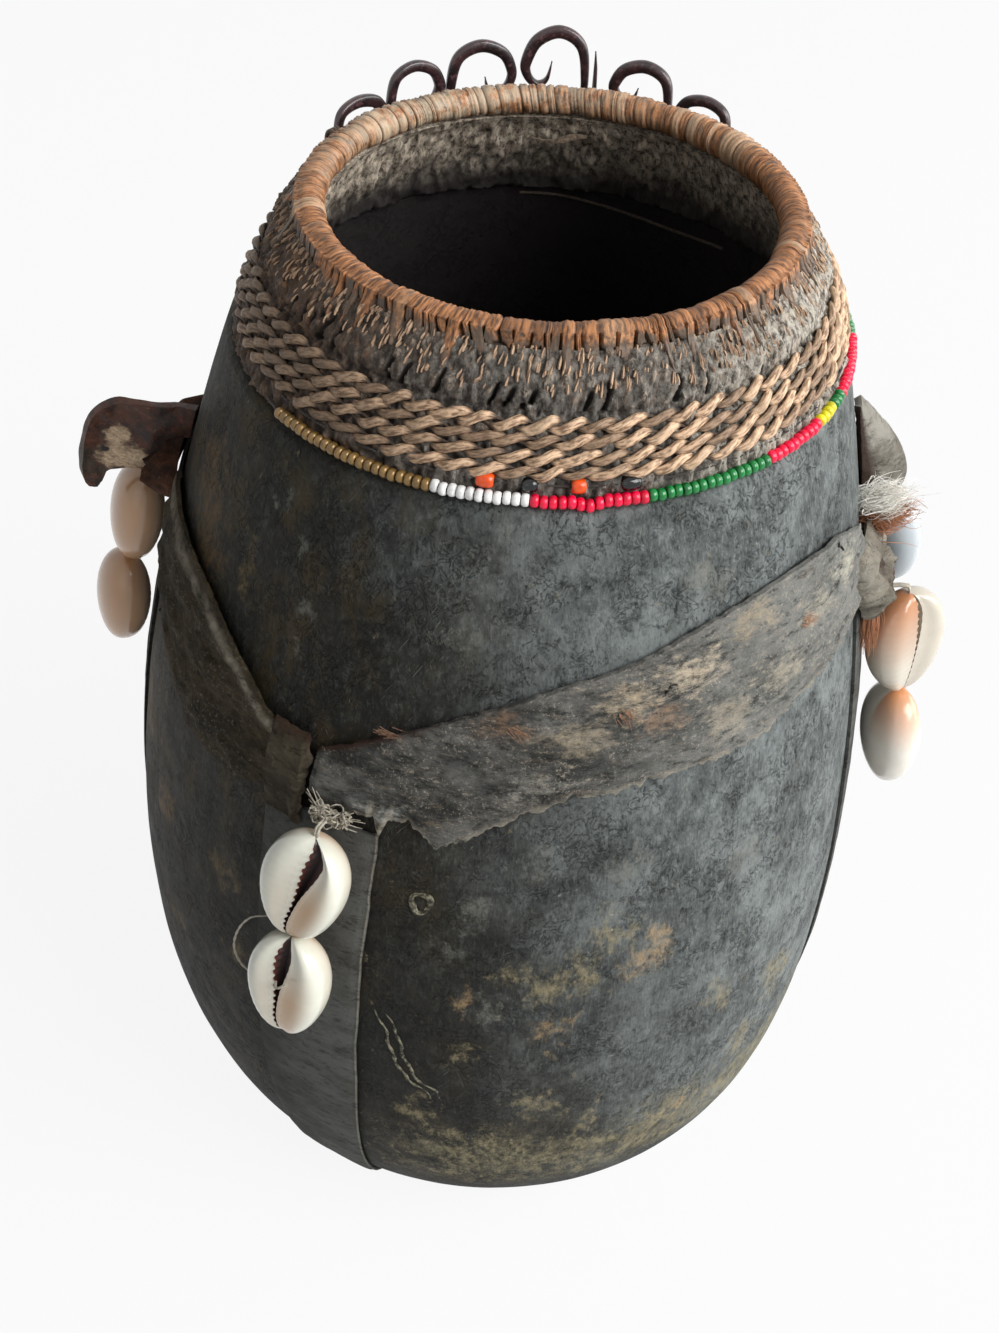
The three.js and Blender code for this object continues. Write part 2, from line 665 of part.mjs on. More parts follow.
// A cowrie shell hanging down from its own pivot: the slit faces away from the vessel (-Y)
function cowrie(length, width) {
  const rings = SHELL_OUTLINE.map(([s, swell]) => {
    const half = (width / 2) * swell;
    const back = SHELL_THICK * SHELL_BACK * swell;
    const front = SHELL_THICK * (1 - SHELL_BACK) * swell ** 0.8;
    const slit = (SLIT / 2) * (1.25 - 0.6 * s) * swell;
    const z = -SHELL_GAP - length * s;
    const ring = [];
    for (const turn of [8, 40, 82, 122, 160, 200, 238, 278, 320, 352]) {
      const a = turn * DEG;
      const [x, y] = [half * Math.sin(a), -Math.cos(a)];
      const lip = turn === 8 || turn === 352;
      const wide = lip ? Math.sign(x) * slit : x;
      ring.push(new THREE.Vector3(wide, y * (y < 0 ? front : back), z));
    }
    const depth = Math.min(SLIT_DEPTH, front * 0.6);
    ring.push(new THREE.Vector3(-slit * 0.5, -front + depth, z));
    ring.push(new THREE.Vector3(slit * 0.5, -front + depth, z));
    return ring;
  });
  return loft(rings);
}

// A hanging point on the wall: x across, y inwards, z up along the wall
function hanger(az, z, off) {
  const group = new THREE.Group();
  const up = onWall(az, z + 1, off).sub(onWall(az, z - 1, off)).normalize();
  const right = new THREE.Vector3(Math.cos(az * DEG), Math.sin(az * DEG), 0);
  const inward = up.clone().cross(right);
  group.matrixAutoUpdate = false;
  group.matrix.makeBasis(right, inward, up).setPosition(onWall(az, z, off));
  vessel.add(group);
  return group;
}

// Cowries on a thread: a short link that swings sideways, then shells that lift outwards
function makePendant(name, az, drop, off, knotFace, yaw, shells) {
  const hang = hanger(az, MOUTH_HEIGHT - drop, off);
  hang.name = "hang_" + name;
  const reach = off - knotFace - CLEAR;
  const rings = [[reach, 0, 90], [LINK / 2, 0, 90], [0, -LINK / 4, 135], [0, -LINK_DROP, 180]];
  const link = loft(rings.map(([y, z, turn]) => {
    const ring = [];
    for (let k = 0; k < LINK_SIDES; k++) {
      const a = (k * CIRCLE * DEG) / LINK_SIDES;
      const v = (LINK / 2) * Math.sin(a);
      const across = (LINK / 2) * Math.cos(a);
      ring.push(new THREE.Vector3(
        across, y + v * Math.cos(turn * DEG), z + v * Math.sin(turn * DEG)));
    }
    return ring;
  }));
  add("thread_link_" + name, link, 0xcfc9bb, 0.9, 0, hang);
  let parent = hang;
  let step = -LINK_DROP - CLEAR / 2;
  shells.forEach(([length, width, roll], i) => {
    const swing = new THREE.Group();
    swing.position.z = step;
    swing.rotation.y = roll * DEG;
    swing.name = "swing_" + name + "_" + i;
    parent.add(swing);
    const place = shells.length === 1 ? "" : ["_upper", "_lower"][i];
    const shell = add("cowrie_" + name + place, cowrie(length, width), 0xe9e2d4, 0.25, 0, swing);
    shell.rotation.z = yaw * DEG;
    parent = swing;
    step = -length - 2 * SHELL_GAP;
  });
}

// Frayed thread knot that sews the front meeting and carries the front shells
function makeThreadKnot() {
  const [, az, drop, , face] = PENDANTS[0];
  const [wide, high] = KNOT_HALF;
  const middle = MOUTH_HEIGHT - drop;
  const base = 2 * CLEAR + HIDE;
  const rings = [[0, 0.8], [0.3, 1], [0.75, 0.95], [1, 0.6]].map(([t, share]) => {
    const ring = [];
    for (let k = 0; k < 8; k++) {
      const a = (k * CIRCLE * DEG) / 8;
      const turn = ((wide * share * Math.cos(a)) / bodyRadius(middle)) / DEG;
      const lift = base + (face - base) * t;
      ring.push(onWall(az + turn, middle + high * share * Math.sin(a), lift));
    }
    return ring;
  });
  add("thread_knot_front", loft(rings), 0xb9b0a0, 1);
}

// Crest: a curved band lashed behind the collar, with six scrolls standing on it
const crestFoot = RIM_HEIGHT - CREST_DROP;
const crestRadius = collarRadius(COLLAR_HEIGHT - CREST_DROP) + CLEAR;
const crestTurns = SCROLLS.map(([, az, half]) => [(az + CIRCLE) % CIRCLE, half]);
const crestEnds = [
  Math.min(...crestTurns.map(([az, half]) => az - half)) - CREST_END,
  Math.max(...crestTurns.map(([az, half]) => az + half)) + CREST_END,
];
function makeCrest() {
  const [first, last] = crestEnds;
  const steps = 20;
  const rings = [];
  for (let i = 0; i <= steps; i++) {
    const az = first + ((last - first) * i) / steps;
    rings.push([[0, 0], [1, 0], [1, 1], [0, 1]].map(([out, up]) =>
      at(az, crestRadius + out * CREST_BAND, crestFoot + up * CREST_BAND_HEIGHT)));
  }
  add("crest_band", loft(rings), 0x2c1e1c, 0.45, 0.3);
  const radius = crestRadius + CREST_BAND + CLEAR + CREST_DEPTH / 2;
  for (const [name, az, half, rise, side] of SCROLLS) {
    const wide = half * radius * DEG - (CREST_STRIP + CLEAR) / 2;
    const high = CREST_DROP + rise - CREST_STRIP / 2;
    const line = smooth(SCROLL_LINE.map(([u, v]) => [u * wide * side, v * high]), 18);
    const place = (u, v, w) => at(az + u / radius / DEG, radius + w, crestFoot + v);
    const thick = (t) => CREST_STRIP * (t > 0.8 ? 1 - 3.6 * (t - 0.8) : 1);
    add(name, ribbon(line, thick, CREST_DEPTH / 2, place), 0x2c1e1c, 0.4, 0.3);
  }
}

// Lashings that hold the crest band to the collar
function makeLashings() {
  const half = LASHING_THICK / 2;
  const inset = (LASHING_WIDTH / 2 / crestRadius + CLEAR / crestRadius) / DEG;
  [crestEnds[0] + inset, crestEnds[1] - inset].forEach((az, i) => {
    const out = crestRadius + CREST_BAND + CLEAR + half;
    const top = crestFoot + CREST_BAND_HEIGHT + CLEAR + half;
    const low = crestFoot - CLEAR - half;
    const onCollar = (z) => collarRadius(z - MOUTH_HEIGHT) + CLEAR + half;
    const line = [[onCollar(low - 1), low - 1], [out, low], [out, top], [onCollar(top), top]];
    const across = new THREE.Vector3(Math.cos(az * DEG), Math.sin(az * DEG), 0);
    const place = (r, z, w) => at(az, r, z).addScaledVector(across, w);
    const name = ["crest_lashing_right", "crest_lashing_left"][i];
    add(name, ribbon(line, () => LASHING_THICK, LASHING_WIDTH / 2, place), 0x4a3c2e, 0.9);
  });
}

makeBody();
makePad();
makeCollar();
makeRim();
makeWinding();
makeSeedBeads();
makeLargeBeads();
makeBand("band_front_right", BAND_FRONT_RIGHT, 0x57504a);
makeBand("band_front_left", BAND_FRONT_LEFT, 0x443e37);
makeBand("band_back_right", BAND_BACK_RIGHT, 0x4d463f);
makeBand("band_back_left", BAND_BACK_LEFT, 0x4d463f);
for (const [name, az, drop] of STRAPS) makeStrap(name, az, drop);
for (const fold of FOLDS) makeFold(...fold);
makeTab();
makeArch();
for (const tuft of TUFTS) makeTuft(...tuft);
makeThreadKnot();
for (const pendant of PENDANTS) makePendant(...pendant);
makePendant(...SPARE_SHELL);
makeCrest();
makeLashings();

export default vessel;
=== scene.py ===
import functools
import random
from math import asin, atan2, copysign, cos, exp, floor, hypot, pi, sin, sqrt, tau

import bpy
from mathutils import Matrix, Vector, noise


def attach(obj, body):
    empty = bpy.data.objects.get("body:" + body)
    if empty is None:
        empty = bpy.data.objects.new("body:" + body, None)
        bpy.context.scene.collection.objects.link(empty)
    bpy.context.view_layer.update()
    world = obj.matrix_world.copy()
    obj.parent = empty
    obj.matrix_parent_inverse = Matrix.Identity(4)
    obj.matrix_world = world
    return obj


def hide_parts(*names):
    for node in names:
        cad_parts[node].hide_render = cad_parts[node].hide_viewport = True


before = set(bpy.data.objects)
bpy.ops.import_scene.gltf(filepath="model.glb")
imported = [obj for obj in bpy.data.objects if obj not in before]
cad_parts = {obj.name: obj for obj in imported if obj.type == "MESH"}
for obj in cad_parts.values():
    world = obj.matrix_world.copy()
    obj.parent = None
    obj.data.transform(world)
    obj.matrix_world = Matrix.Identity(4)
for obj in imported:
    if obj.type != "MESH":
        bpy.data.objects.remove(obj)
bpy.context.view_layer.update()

bl_info = {
    "name": "Beaded milk vessel",
    "version": (1, 0, 0),
    "blender": (4, 5, 0),
    "location": "View3D > Sidebar > Vessel",
    "description": "Carved vessel with a basketry collar, bead string, hide harness and cowries",
    "category": "Add Mesh",
}

MM = 0.001
DEG = pi / 180
CIRCLE = 360
UP = Vector((0, 0, 1))

# Layers, body and collar, as in the part's source
CLEAR = 0.35
HIDE = 1.6
PAD_THICK = 2.7
PAD_RADIUS = 36
BODY_BOTTOM = PAD_THICK + HIDE + 2 * CLEAR
MOUTH_HEIGHT = 212.4
NECK_RADIUS = 59.7
BELLY_RADIUS = 85
BELLY_HEIGHT = 70
FOOT_RADIUS = 62.6
WALL_POWER = 1.8
CORNER_POWER = 2.4
WALL = 5.5
FLOOR = 9
COLLAR_HEIGHT = 23.6
RIM_RADIUS = 44.5
ROLL_RADIUS = 2.9
COLLAR_WALL = 3.4
COLLAR_POWER = 1.7
RIM_HEIGHT = MOUTH_HEIGHT + COLLAR_HEIGHT
MOUTH_LEAN = 1.9
BELLY_LEAN = 2.9

# Radius at which the collar's stitches are counted, height of a row of them, how many straws lie
# between them, and how many strips the rim is wrapped with
STITCH_RING = 54
STITCH_ROW = 2.7
STRAWS = 1000
RIM_STRIPS = 148

# Twined cord
CORD_TURNS = 4
CORD_PITCH = 2.6
CORD_START = 6.2
CORD_START_AZ = 262
CORD_RADIUS = 1
CORD_RING = 57.5
LAST_TURN = CORD_START + CORD_TURNS * CORD_PITCH + CORD_RADIUS

# Beads: name of the node, count, finish
BEAD = 2.2
BEAD_PITCH = 1.55
BEAD_RING = NECK_RADIUS - 0.2
BEAD_HEIGHT = MOUTH_HEIGHT + CLEAR + BEAD / 2
STRING_START_AZ = -49.8
RUNS = [
    ("beads_gold_1", 22, "gold"), ("beads_white_1", 11, "white"), ("beads_red_1", 13, "red"),
    ("beads_green_1", 16, "green"), ("beads_red_2", 10, "red"), ("beads_yellow_1", 4, "yellow"),
    ("beads_green_2", 3, "green"), ("beads_red_3", 13, "red"), ("beads_green_3", 16, "green"),
    ("beads_white_2", 11, "white"), ("beads_gold_2", 22, "gold"),
]
# How rough and how metallic each colour of glass is
GLASS = {
    "gold": (0.3, 0.3), "white": (0.3, 0), "red": (0.3, 0), "green": (0.12, 0), "yellow": (0.3, 0),
    "orange": (0.28, 0), "black": (0.12, 0),
}
LARGE_BEAD = 2.7
LARGE_RING = BEAD_RING - 1.3
LARGE_HEIGHT = BEAD_HEIGHT + 2.3
LARGE_BEADS = [
    ("bead_orange_left", -8.2, 3.2, "orange"), ("bead_black_middle", -0.8, 2.7, "black"),
    ("bead_orange_right", 7.2, 2.6, "orange"), ("bead_black_right", 16, 3.6, "black"),
]

# The straw stuck in under the mouth, as azimuth and height
INNER_STRAW = [(186, 210.3), (177, 210), (167.4, 208.7), (158, 207.4), (148, 206.6), (136, 207.4)]

# Harness, as azimuth and the drops of the upper and lower edge below the mouth
BANDS = {
    "band_front_right": [
        (-27.3, 53.6, 64.2), (-25.6, 52.3, 65.9), (-19.7, 48, 64.8), (-17.6, 46.4, 64.2),
        (-16.4, 45.6, 68.8), (-15.2, 44.7, 64.4), (-12.5, 42.8, 62.8), (-9.8, 40.8, 66.2), (-8.3, 40, 69.4),
        (-6.4, 38.8, 66.6), (-3.7, 37.2, 64.2), (2.9, 33.8, 58.8), (10, 30.8, 55.2),
        (18.7, 28.1, 54.1), (28.5, 24, 53.9), (40, 21.5, 52.9), (49.4, 21.3, 49.6),
        (60, 22.9, 48.4), (71.6, 28.6, 45),
    ],
    "band_front_left": [
        (-81.6, 34.6, 50), (-76, 34.6, 56), (-68, 35.4, 62), (-61, 36.6, 66.6),
        (-54.6, 38.2, 70), (-48, 42, 71.4), (-42.6, 46.1, 71.7), (-37, 51.3, 69.5),
        (-30.6, 54.4, 66),
    ],
    "band_back_right": [
        (92.4, 28, 46), (110, 27, 52), (125, 35, 60), (140, 44, 67), (152, 52, 70),
        (162, 54, 69),
    ],
    "band_back_left": [
        (167, 54, 69), (178, 50, 71), (192, 41, 66), (206, 32, 58), (220, 26, 52),
        (234, 25, 49), (246, 29, 47), (256.4, 33, 45),
    ],
}
STRAP_TOP_HALF = 12.6
STRAP_FOOT_HALF = 7.6
STRAP_INNER_END = 24
STRAPS = {
    "strap_front": (-25.8, 69.2), "strap_left": (-92.6, 37),
    "strap_right": (82, 37), "strap_back": (165, 72.6),
}
FOLDS = {
    "fold_front": (-31.9, 3.8, 51.2, 73, 2.2), "knot_left": (-92.6, 13.4, 35, 46.6, 4.2),
    "knot_right": (82, 12.8, 34.4, 54.4, 4.2), "knot_back": (164.6, 7.5, 52, 76, 3),
}
# Dents pressed into a knot, across and down it: place, reach and depth; they are also painted dark as
# painted shade
HOLLOWS = {"knot_right": [(-0.5, 0.3, 0.24, 1.4), (0, 0.22, 0.26, 1.6), (-0.25, 0.82, 0.26, 1.2)]}

# Tab and leather tail, as stand-off from the wall and drop below the mouth
TAB_AZ = -90
TAB_THICK = 2.2
TAB_SHORT = 3.6
TAB_TOP = [(0.7, 26.4), (10.6, 26.1), (21.2, 25.6), (25.2, 28.4), (25.9, 35), (25.1, 43), (23, 47.2)]
TAB_FOOT = [(0.7, 33.4), (6.8, 34.4), (7.6, 41.6), (13.5, 42.3), (18.9, 42.8), (20.2, 45.2), (21.2, 47.4)]
# Where the tab is scraped pale: stand-off, drop and reach
SCRAPES = [(14.8, 39, 6), (11.6, 39.6, 5.6), (9, 40, 4), (15.4, 34, 4.4)]
ARCH_AZ = 93
ARCH_WIDTH = 13
LEAF = [(8.8, 37.5), (10.4, 34.5), (9.8, 30), (7.8, 25.4), (5, 20.8), (2.6, 17), (0.7, 14.2)]

# Tufts: azimuth, stand-off and drop of root and tip, spread, number of hairs, how pale
TUFTS = [
    ("hair_tuft_upper", 82, (1.4, 34.4), (8, 31.6), 2.8, 1400, -0.34),
    ("hair_tuft_lower", 75, (3, 46), (2.6, 63), 1.2, 300, -2),
]

# Cowries: azimuth and drop of the hanging point, stand-off, face of the knot, turn, shells as
# length, width, roll and the slit's sideways places at its upper and lower end
SHELL_THICK = 11.2
SHELL_BACK = 0.55
SHELL_GAP = 0.3
TOOTH_PITCH = 1.75
LINK_DROP = 1.2
PENDANTS = {
    "front": (-23.2, 65.6, 8.6, 5.9, 0, [(26, 17.6, 5, 3.1, -1.9), (25.5, 17.1, -8, 0.2, -1.9)]),
    "left": (-93, 45.4, 7.9, 6.35, 160, [(25.5, 17, 0, 1, -1), (25, 17, 0, 1, -1)]),
    "right": (81, 53.2, 10.2, 6.3, -42, [(27, 18.4, 0, 1, -1), (27.5, 18.2, 0, 1, -1)]),
    "right_back": (98, 45, 9, 1.95, 20, [(25, 17, 0, 1, -1)]),
}

# More turn and tilt of each shell about its own thread, upper and lower
YAW_MORE = {"front": (0, 0), "left": (42, 50), "right": (-8, 66), "right_back": (0, 0)}
TUCK = {"front": (0, 0), "left": (0.4, 2.6), "right": (2.6, 3.4), "right_back": (0, 0)}

# Enamel of the pendants whose shells aren't the panel's colour: material, plain tone, tan, seed
ENAMEL = {
    "left": ("cowrie_shell_dark", (238, 208, 180), (206, 160, 120), 5),
    "right": ("cowrie_shell_tan", (206, 197, 181), (186, 126, 84), 9),
    "right_lower": ("cowrie_shell_cream", (250, 243, 230), (208, 142, 94), 17),
    "right_back": ("cowrie_shell_grey", (206, 212, 214), (170, 178, 184), 13),
}

# The loop of thread beside the lower front shell: azimuth, height and lift off the wall
LOOP = [(-27.6, 121.4, 6), (-28.9, 119.9, 8), (-31.6, 117, 8.6), (-33.6, 111, 8.4), (-34.2, 105, 8.2),
        (-33, 100.5, 7.6), (-30.6, 98, 6.4), (-29, 96.6, 5)]

# The stitch of that thread over the slit: across, out, and down as a share of the shell
SLIT_STITCH = [(-1.3, -3.4, -0.42), (-0.4, -5.2, -0.41), (0.8, -5.9, -0.37), (2, -5.4, -0.33)]

# The front knot: how many turns of thread, and its loose ends, sideways and up
KNOT_TURNS = 70
KNOT_ENDS = [(-5.4, 3.6), (-4.6, 4.2), (-5.8, 2.4), (-3.6, 3.9), (6, 1.4), (6.6, -0.2), (5.6, -1.6),
             (4.4, 2.2), (-5, 1), (6.8, 0.7)]

# Crest
CREST_STRIP = 1
CREST_DEPTH = 1.8
CREST_BAND = 1.2
CREST_BAND_HEIGHT = 3.4
CREST_DROP = 7.2
CREST_FOOT = RIM_HEIGHT - CREST_DROP
SCROLLS = {
    "scroll_left_outer": (-134.8, 6.7, 0, 1), "scroll_left_middle": (-148.7, 6.7, 4.4, 1),
    "scroll_left_inner": (-163.6, 7.6, 6.9, 1), "scroll_right_inner": (180.6, 7.4, 9.8, -1),
    "scroll_right_middle": (161.6, 7.1, 4.8, -1), "scroll_right_outer": (146.8, 6.6, 1, -1),
}
CREST_STRIP_SEEN = 2

# Where each strip's free end turns and ends, above the rim's top
CURLS = {
    "scroll_left_outer": (-4.6, -3.8), "scroll_left_middle": (-4.4, -3.4),
    "scroll_left_inner": (-3.8, -0.3), "scroll_right_inner": (-1.8, 3),
    "scroll_right_middle": (-3.4, -0.5), "scroll_right_outer": (-4.6, -3.8),
}

# The pin beside the crest: azimuth, radius, height and thickness
PIN = [(171.5, 51.4, 231, 0.5), (171.4, 51.6, 236, 0.5), (171.6, 51.8, 240, 0.4), (172, 52, 243.6, 0.12)]

# Marks on the wood: tone, share, and places as azimuth, height and reach
PATINA = [
    ((160, 148, 116), 0.8, [
        (17.5, 121, 9), (13.8, 109.4, 9), (8.5, 108, 7), (3.7, 112, 6), (52.7, 76, 9), (38.2, 88, 8),
        (-2, 84, 6), (-8.7, 61.2, 8), (9.2, 66, 9), (18.1, 57, 6), (32, 46.5, 8), (46, 60, 9),
        (150, 90, 16), (200, 130, 14), (230, 70, 18), (178, 110, 12), (122, 60, 16), (97, 130, 14),
    ]),
    ((184, 156, 116), 0.7, [
        (24.9, 113.3, 8), (22.5, 110, 6), (9.4, 95.2, 6), (-2.9, 103.1, 4.5), (11.3, 84.9, 4.5),
        (34.8, 47.7, 5), (215, 90, 9), (170, 70, 10),
    ]),
    ((108, 88, 62), 1, [
        (-65.6, 192, 12), (-62.8, 184, 12), (-58, 176, 9), (-75, 120, 12), (-60, 110, 9),
        (-120, 150, 18), (-150, 90, 18),
    ]),
    ((112, 98, 72), 0.8, [(-47.7, 186, 7), (-48.5, 180, 5), (-42, 112, 8), (-38, 90, 7), (-55, 78, 8)]),
    ((132, 132, 124), 0.7, [
        (-35.8, 194.4, 4), (-33.9, 182.5, 4.5), (-35.5, 172.6, 4), (-43.8, 201.5, 4), (-2, 128, 6),
        (-5, 118, 5), (2, 100, 5), (20, 138, 7), (40, 128, 8), (6, 142, 6), (30, 195, 7), (-8, 188, 6),
    ]),
]

# A long dent and a ring shaped scar, low on the front: azimuth and height
DENT = [(-14.3, 95.2), (-12.4, 89.6), (-11.1, 81.4), (-8.7, 73.5), (-5.7, 68.9), (-5.3, 53.9)]
SCAR = (-9.6, 128.7)

# Holes, marks and stuck hairs on the front bands: azimuth and height, then reach, tone and share
# of a mark, turn and length of a hair
BAND_HOLES = [(22, 178.9), (60.3, 186.9)]
BAND_MARKS = [
    (17.1, 177, 9, (196, 178, 150), 0.9), (26.3, 180, 10, (200, 184, 160), 0.9),
    (62, 183, 8, (190, 186, 168), 0.8), (44, 172, 10, (170, 162, 144), 0.7),
    (10, 170, 9, (170, 156, 132), 0.7), (33, 168, 10, (168, 158, 140), 0.7),
    (52, 180, 8, (184, 176, 156), 0.7), (4, 160, 8, (160, 156, 146), 0.7),
    (-16.4, 150, 6, (172, 172, 166), 0.8), (22, 172, 7, (178, 146, 118), 0.6),
    (-2, 173, 7, (150, 120, 96), 0.6), (38, 186, 8, (178, 160, 130), 0.6),
]
BAND_HAIRS = [(0.4, 173, -0.5, 5), (16, 174.8, -0.9, 3.4), (49, 179.1, -0.3, 4), (-18, 167.2, 0.1, 5)]

# Stage
CAMERA_PLACE = (-2.68, -270.57, 378.12)
CAMERA_PITCH = 43.86
CAMERA_ROLL = 3.47
SENSOR, LENS = 36, 43.2
FLOOR_SIZE = 6
FLOOR_TONE = (0.62, 0.62, 0.62, 1)
FLOOR_GLOW = 0.9
WHITE = (1, 1, 1, 1)
WORLD_TINT = (0.93, 0.97, 1, 1)
WORLD_LIGHT = 0.17
LAMPS = [
    ("key", (1.35, -0.8, 1.5), 1.3, 50), ("side", (1.7, 0.35, 0.8), 1.2, 22),
    ("fill", (-1.0, -1.7, 1.2), 1.5, 3),
]
LAMP_AIM = (0, 0, 0.12)


def lean(z):
    """How far the axis leans sideways at a height."""
    u = z / RIM_HEIGHT
    return MOUTH_LEAN * u**3 - BELLY_LEAN * 6.75 * u * (1 - u) ** 2


def at(az, radius, z):
    """The point at an azimuth, radius and height, in metres."""
    a = az * DEG
    return Vector((lean(z) + radius * sin(a), -radius * cos(a), z)) * MM


def sideways_at(az):
    """The direction along the wall at an azimuth."""
    return Vector((cos(az * DEG), sin(az * DEG), 0))


def outwards_at(az):
    """The direction away from the axis at an azimuth."""
    return Vector((sin(az * DEG), -cos(az * DEG), 0))


def body_radius(z):
    """Outer radius of the body at a height."""
    if z >= BELLY_HEIGHT:
        up = (z - BELLY_HEIGHT) / (MOUTH_HEIGHT - BELLY_HEIGHT)
        return BELLY_RADIUS - (BELLY_RADIUS - NECK_RADIUS) * up**WALL_POWER
    down = min((BELLY_HEIGHT - z) / (BELLY_HEIGHT - BODY_BOTTOM), 1)
    return FOOT_RADIUS + (BELLY_RADIUS - FOOT_RADIUS) * (1 - down**CORNER_POWER) ** (1 / CORNER_POWER)


def corner(turn):
    """Radius and height on the foot's corner, turn 0 at the belly and 90 at the base."""
    power = 2 / CORNER_POWER
    out = max(cos(turn * DEG), 0) ** power
    return (
        FOOT_RADIUS + (BELLY_RADIUS - FOOT_RADIUS) * out,
        BELLY_HEIGHT - (BELLY_HEIGHT - BODY_BOTTOM) * sin(turn * DEG) ** power,
    )


def on_wall(az, z, lift):
    """A point a lift away from the body's wall, square to it."""
    slope = body_radius(z + 0.5) - body_radius(z - 0.5)
    n = 1 / hypot(1, slope)
    return at(az, body_radius(z) + lift * n, z - lift * slope * n)


def off_corner(az, turn, lift):
    """A point a lift away from the foot's corner, square to it."""
    (r0, z0), (r1, z1), (r, z) = corner(turn - 0.5), corner(turn + 0.5), corner(turn)
    n = hypot(r1 - r0, z1 - z0)
    return at(az, r + lift * (z0 - z1) / n, z - lift * (r0 - r1) / n)


def collar_radius(h):
    """Outer radius of the collar at a height above the mouth."""
    outer = RIM_RADIUS + ROLL_RADIUS
    return NECK_RADIUS - (NECK_RADIUS - outer) * (max(h, 0) / COLLAR_HEIGHT) ** COLLAR_POWER


def collar_table(step=0.05):
    """Heights above the mouth at even lengths along the collar's outline."""
    table, h, gone = [], 0, 0
    while h < COLLAR_HEIGHT:
        while gone >= len(table) * 0.1:
            table.append(h)
        gone += hypot(step, collar_radius(h + step) - collar_radius(h))
        h += step
    return table


COLLAR_HEIGHTS = collar_table()
COLLAR_LENGTH = (len(COLLAR_HEIGHTS) - 1) * 0.1


def along_collar(length, inset):
    """Radius and height at a length along the collar's outline, sunk by an inset."""
    h = COLLAR_HEIGHTS[min(max(int(length * 10 + 0.5), 0), len(COLLAR_HEIGHTS) - 1)]
    slope = (collar_radius(h + 0.05) - collar_radius(h)) / 0.05
    n = 1 / hypot(1, slope)
    return collar_radius(h) - inset * n, MOUTH_HEIGHT + h + inset * slope * n


def rough(point, size, seed=0, octaves=3):
    """Repeatable unevenness between about -1 and 1, its bumps about size millimetres wide."""
    shift = Vector((seed * 17.3, seed * 9.1, seed * 5.7))
    return noise.fractal(point / (size * MM) + shift, 1, 2, octaves)


def along(stations, t):
    """The values at a share t of the way along rows whose first value is even or growing."""
    first, last = stations[0][0], stations[-1][0]
    spot = first + (last - first) * t
    for here, beyond in zip(stations, stations[1:]):
        if spot <= beyond[0] or beyond is stations[-1]:
            share = (spot - here[0]) / (beyond[0] - here[0])
            return [a + (b - a) * share for a, b in zip(here, beyond)]


def held(value):
    """A value kept between 0 and 1."""
    return min(1, max(0, value))


def squarer(wave, power):
    """A wave pushed outwards by a power below 1, which makes a round section squarish."""
    return copysign(abs(wave) ** power, wave)


def smooth_line(points, steps):
    """A smooth line through points of any width, in even steps."""
    line = []
    for i in range(steps + 1):
        spot = i / steps * (len(points) - 1)
        k = min(int(spot), len(points) - 2)
        t = spot - k
        a, b = points[max(k - 1, 0)], points[k]
        c, d = points[k + 1], points[min(k + 2, len(points) - 1)]
        line.append(tuple(
            0.5 * (2 * q + (r - p) * t + (2 * p - 5 * q + 4 * r - s) * t**2
                   + (3 * q - p - 3 * r + s) * t**3)
            for p, q, r, s in zip(a, b, c, d)))
    return line


# Modelling, by Blender's own tools


def clear_selection():
    """Nothing selected, in object mode."""
    if bpy.context.mode != "OBJECT":
        bpy.ops.object.mode_set(mode="OBJECT")
    bpy.ops.object.select_all(action="DESELECT")


def activate(piece):
    """The piece alone selected and active."""
    clear_selection()
    piece.select_set(True)
    bpy.context.view_layer.objects.active = piece


def edited(piece, *steps):
    """Edit mode steps on all of a piece, each an operator and its settings."""
    activate(piece)
    bpy.ops.object.mode_set(mode="EDIT")
    bpy.ops.mesh.select_all(action="SELECT")
    for operator, settings in steps:
        operator(**settings)
    bpy.ops.object.mode_set(mode="OBJECT")
    return piece


def weld(piece, reach=1e-6):
    """Corners that meet are merged, and faces turned outwards."""
    return edited(
        piece,
        (bpy.ops.mesh.remove_doubles, {"threshold": reach}),
        (bpy.ops.mesh.normals_make_consistent, {"inside": False}),
    )


def modified(piece, kind, **settings):
    """A modifier with its settings, applied."""
    activate(piece)
    bpy.ops.object.modifier_add(type=kind)
    modifier = piece.modifiers[-1]
    for name, value in settings.items():
        setattr(modifier, name, value)
    bpy.ops.object.modifier_apply(modifier=modifier.name)
    return piece


def smoothed(piece, angle=40):
    """Smooth shading, except over edges sharper than an angle."""
    activate(piece)
    bpy.ops.object.shade_smooth_by_angle(angle=angle * DEG)
    return piece


def named(piece, name):
    """The new piece under its name."""
    piece.name = piece.data.name = name
    return piece


def grid(name, across, up, place):
    """A grid of faces whose corners go where place(u, v) says."""
    clear_selection()
    bpy.ops.mesh.primitive_grid_add(x_subdivisions=across, y_subdivisions=up, size=1)
    piece = named(bpy.context.object, name)
    for spot in piece.data.vertices:
        spot.co = place(spot.co.x + 0.5, spot.co.y + 0.5)
    return piece


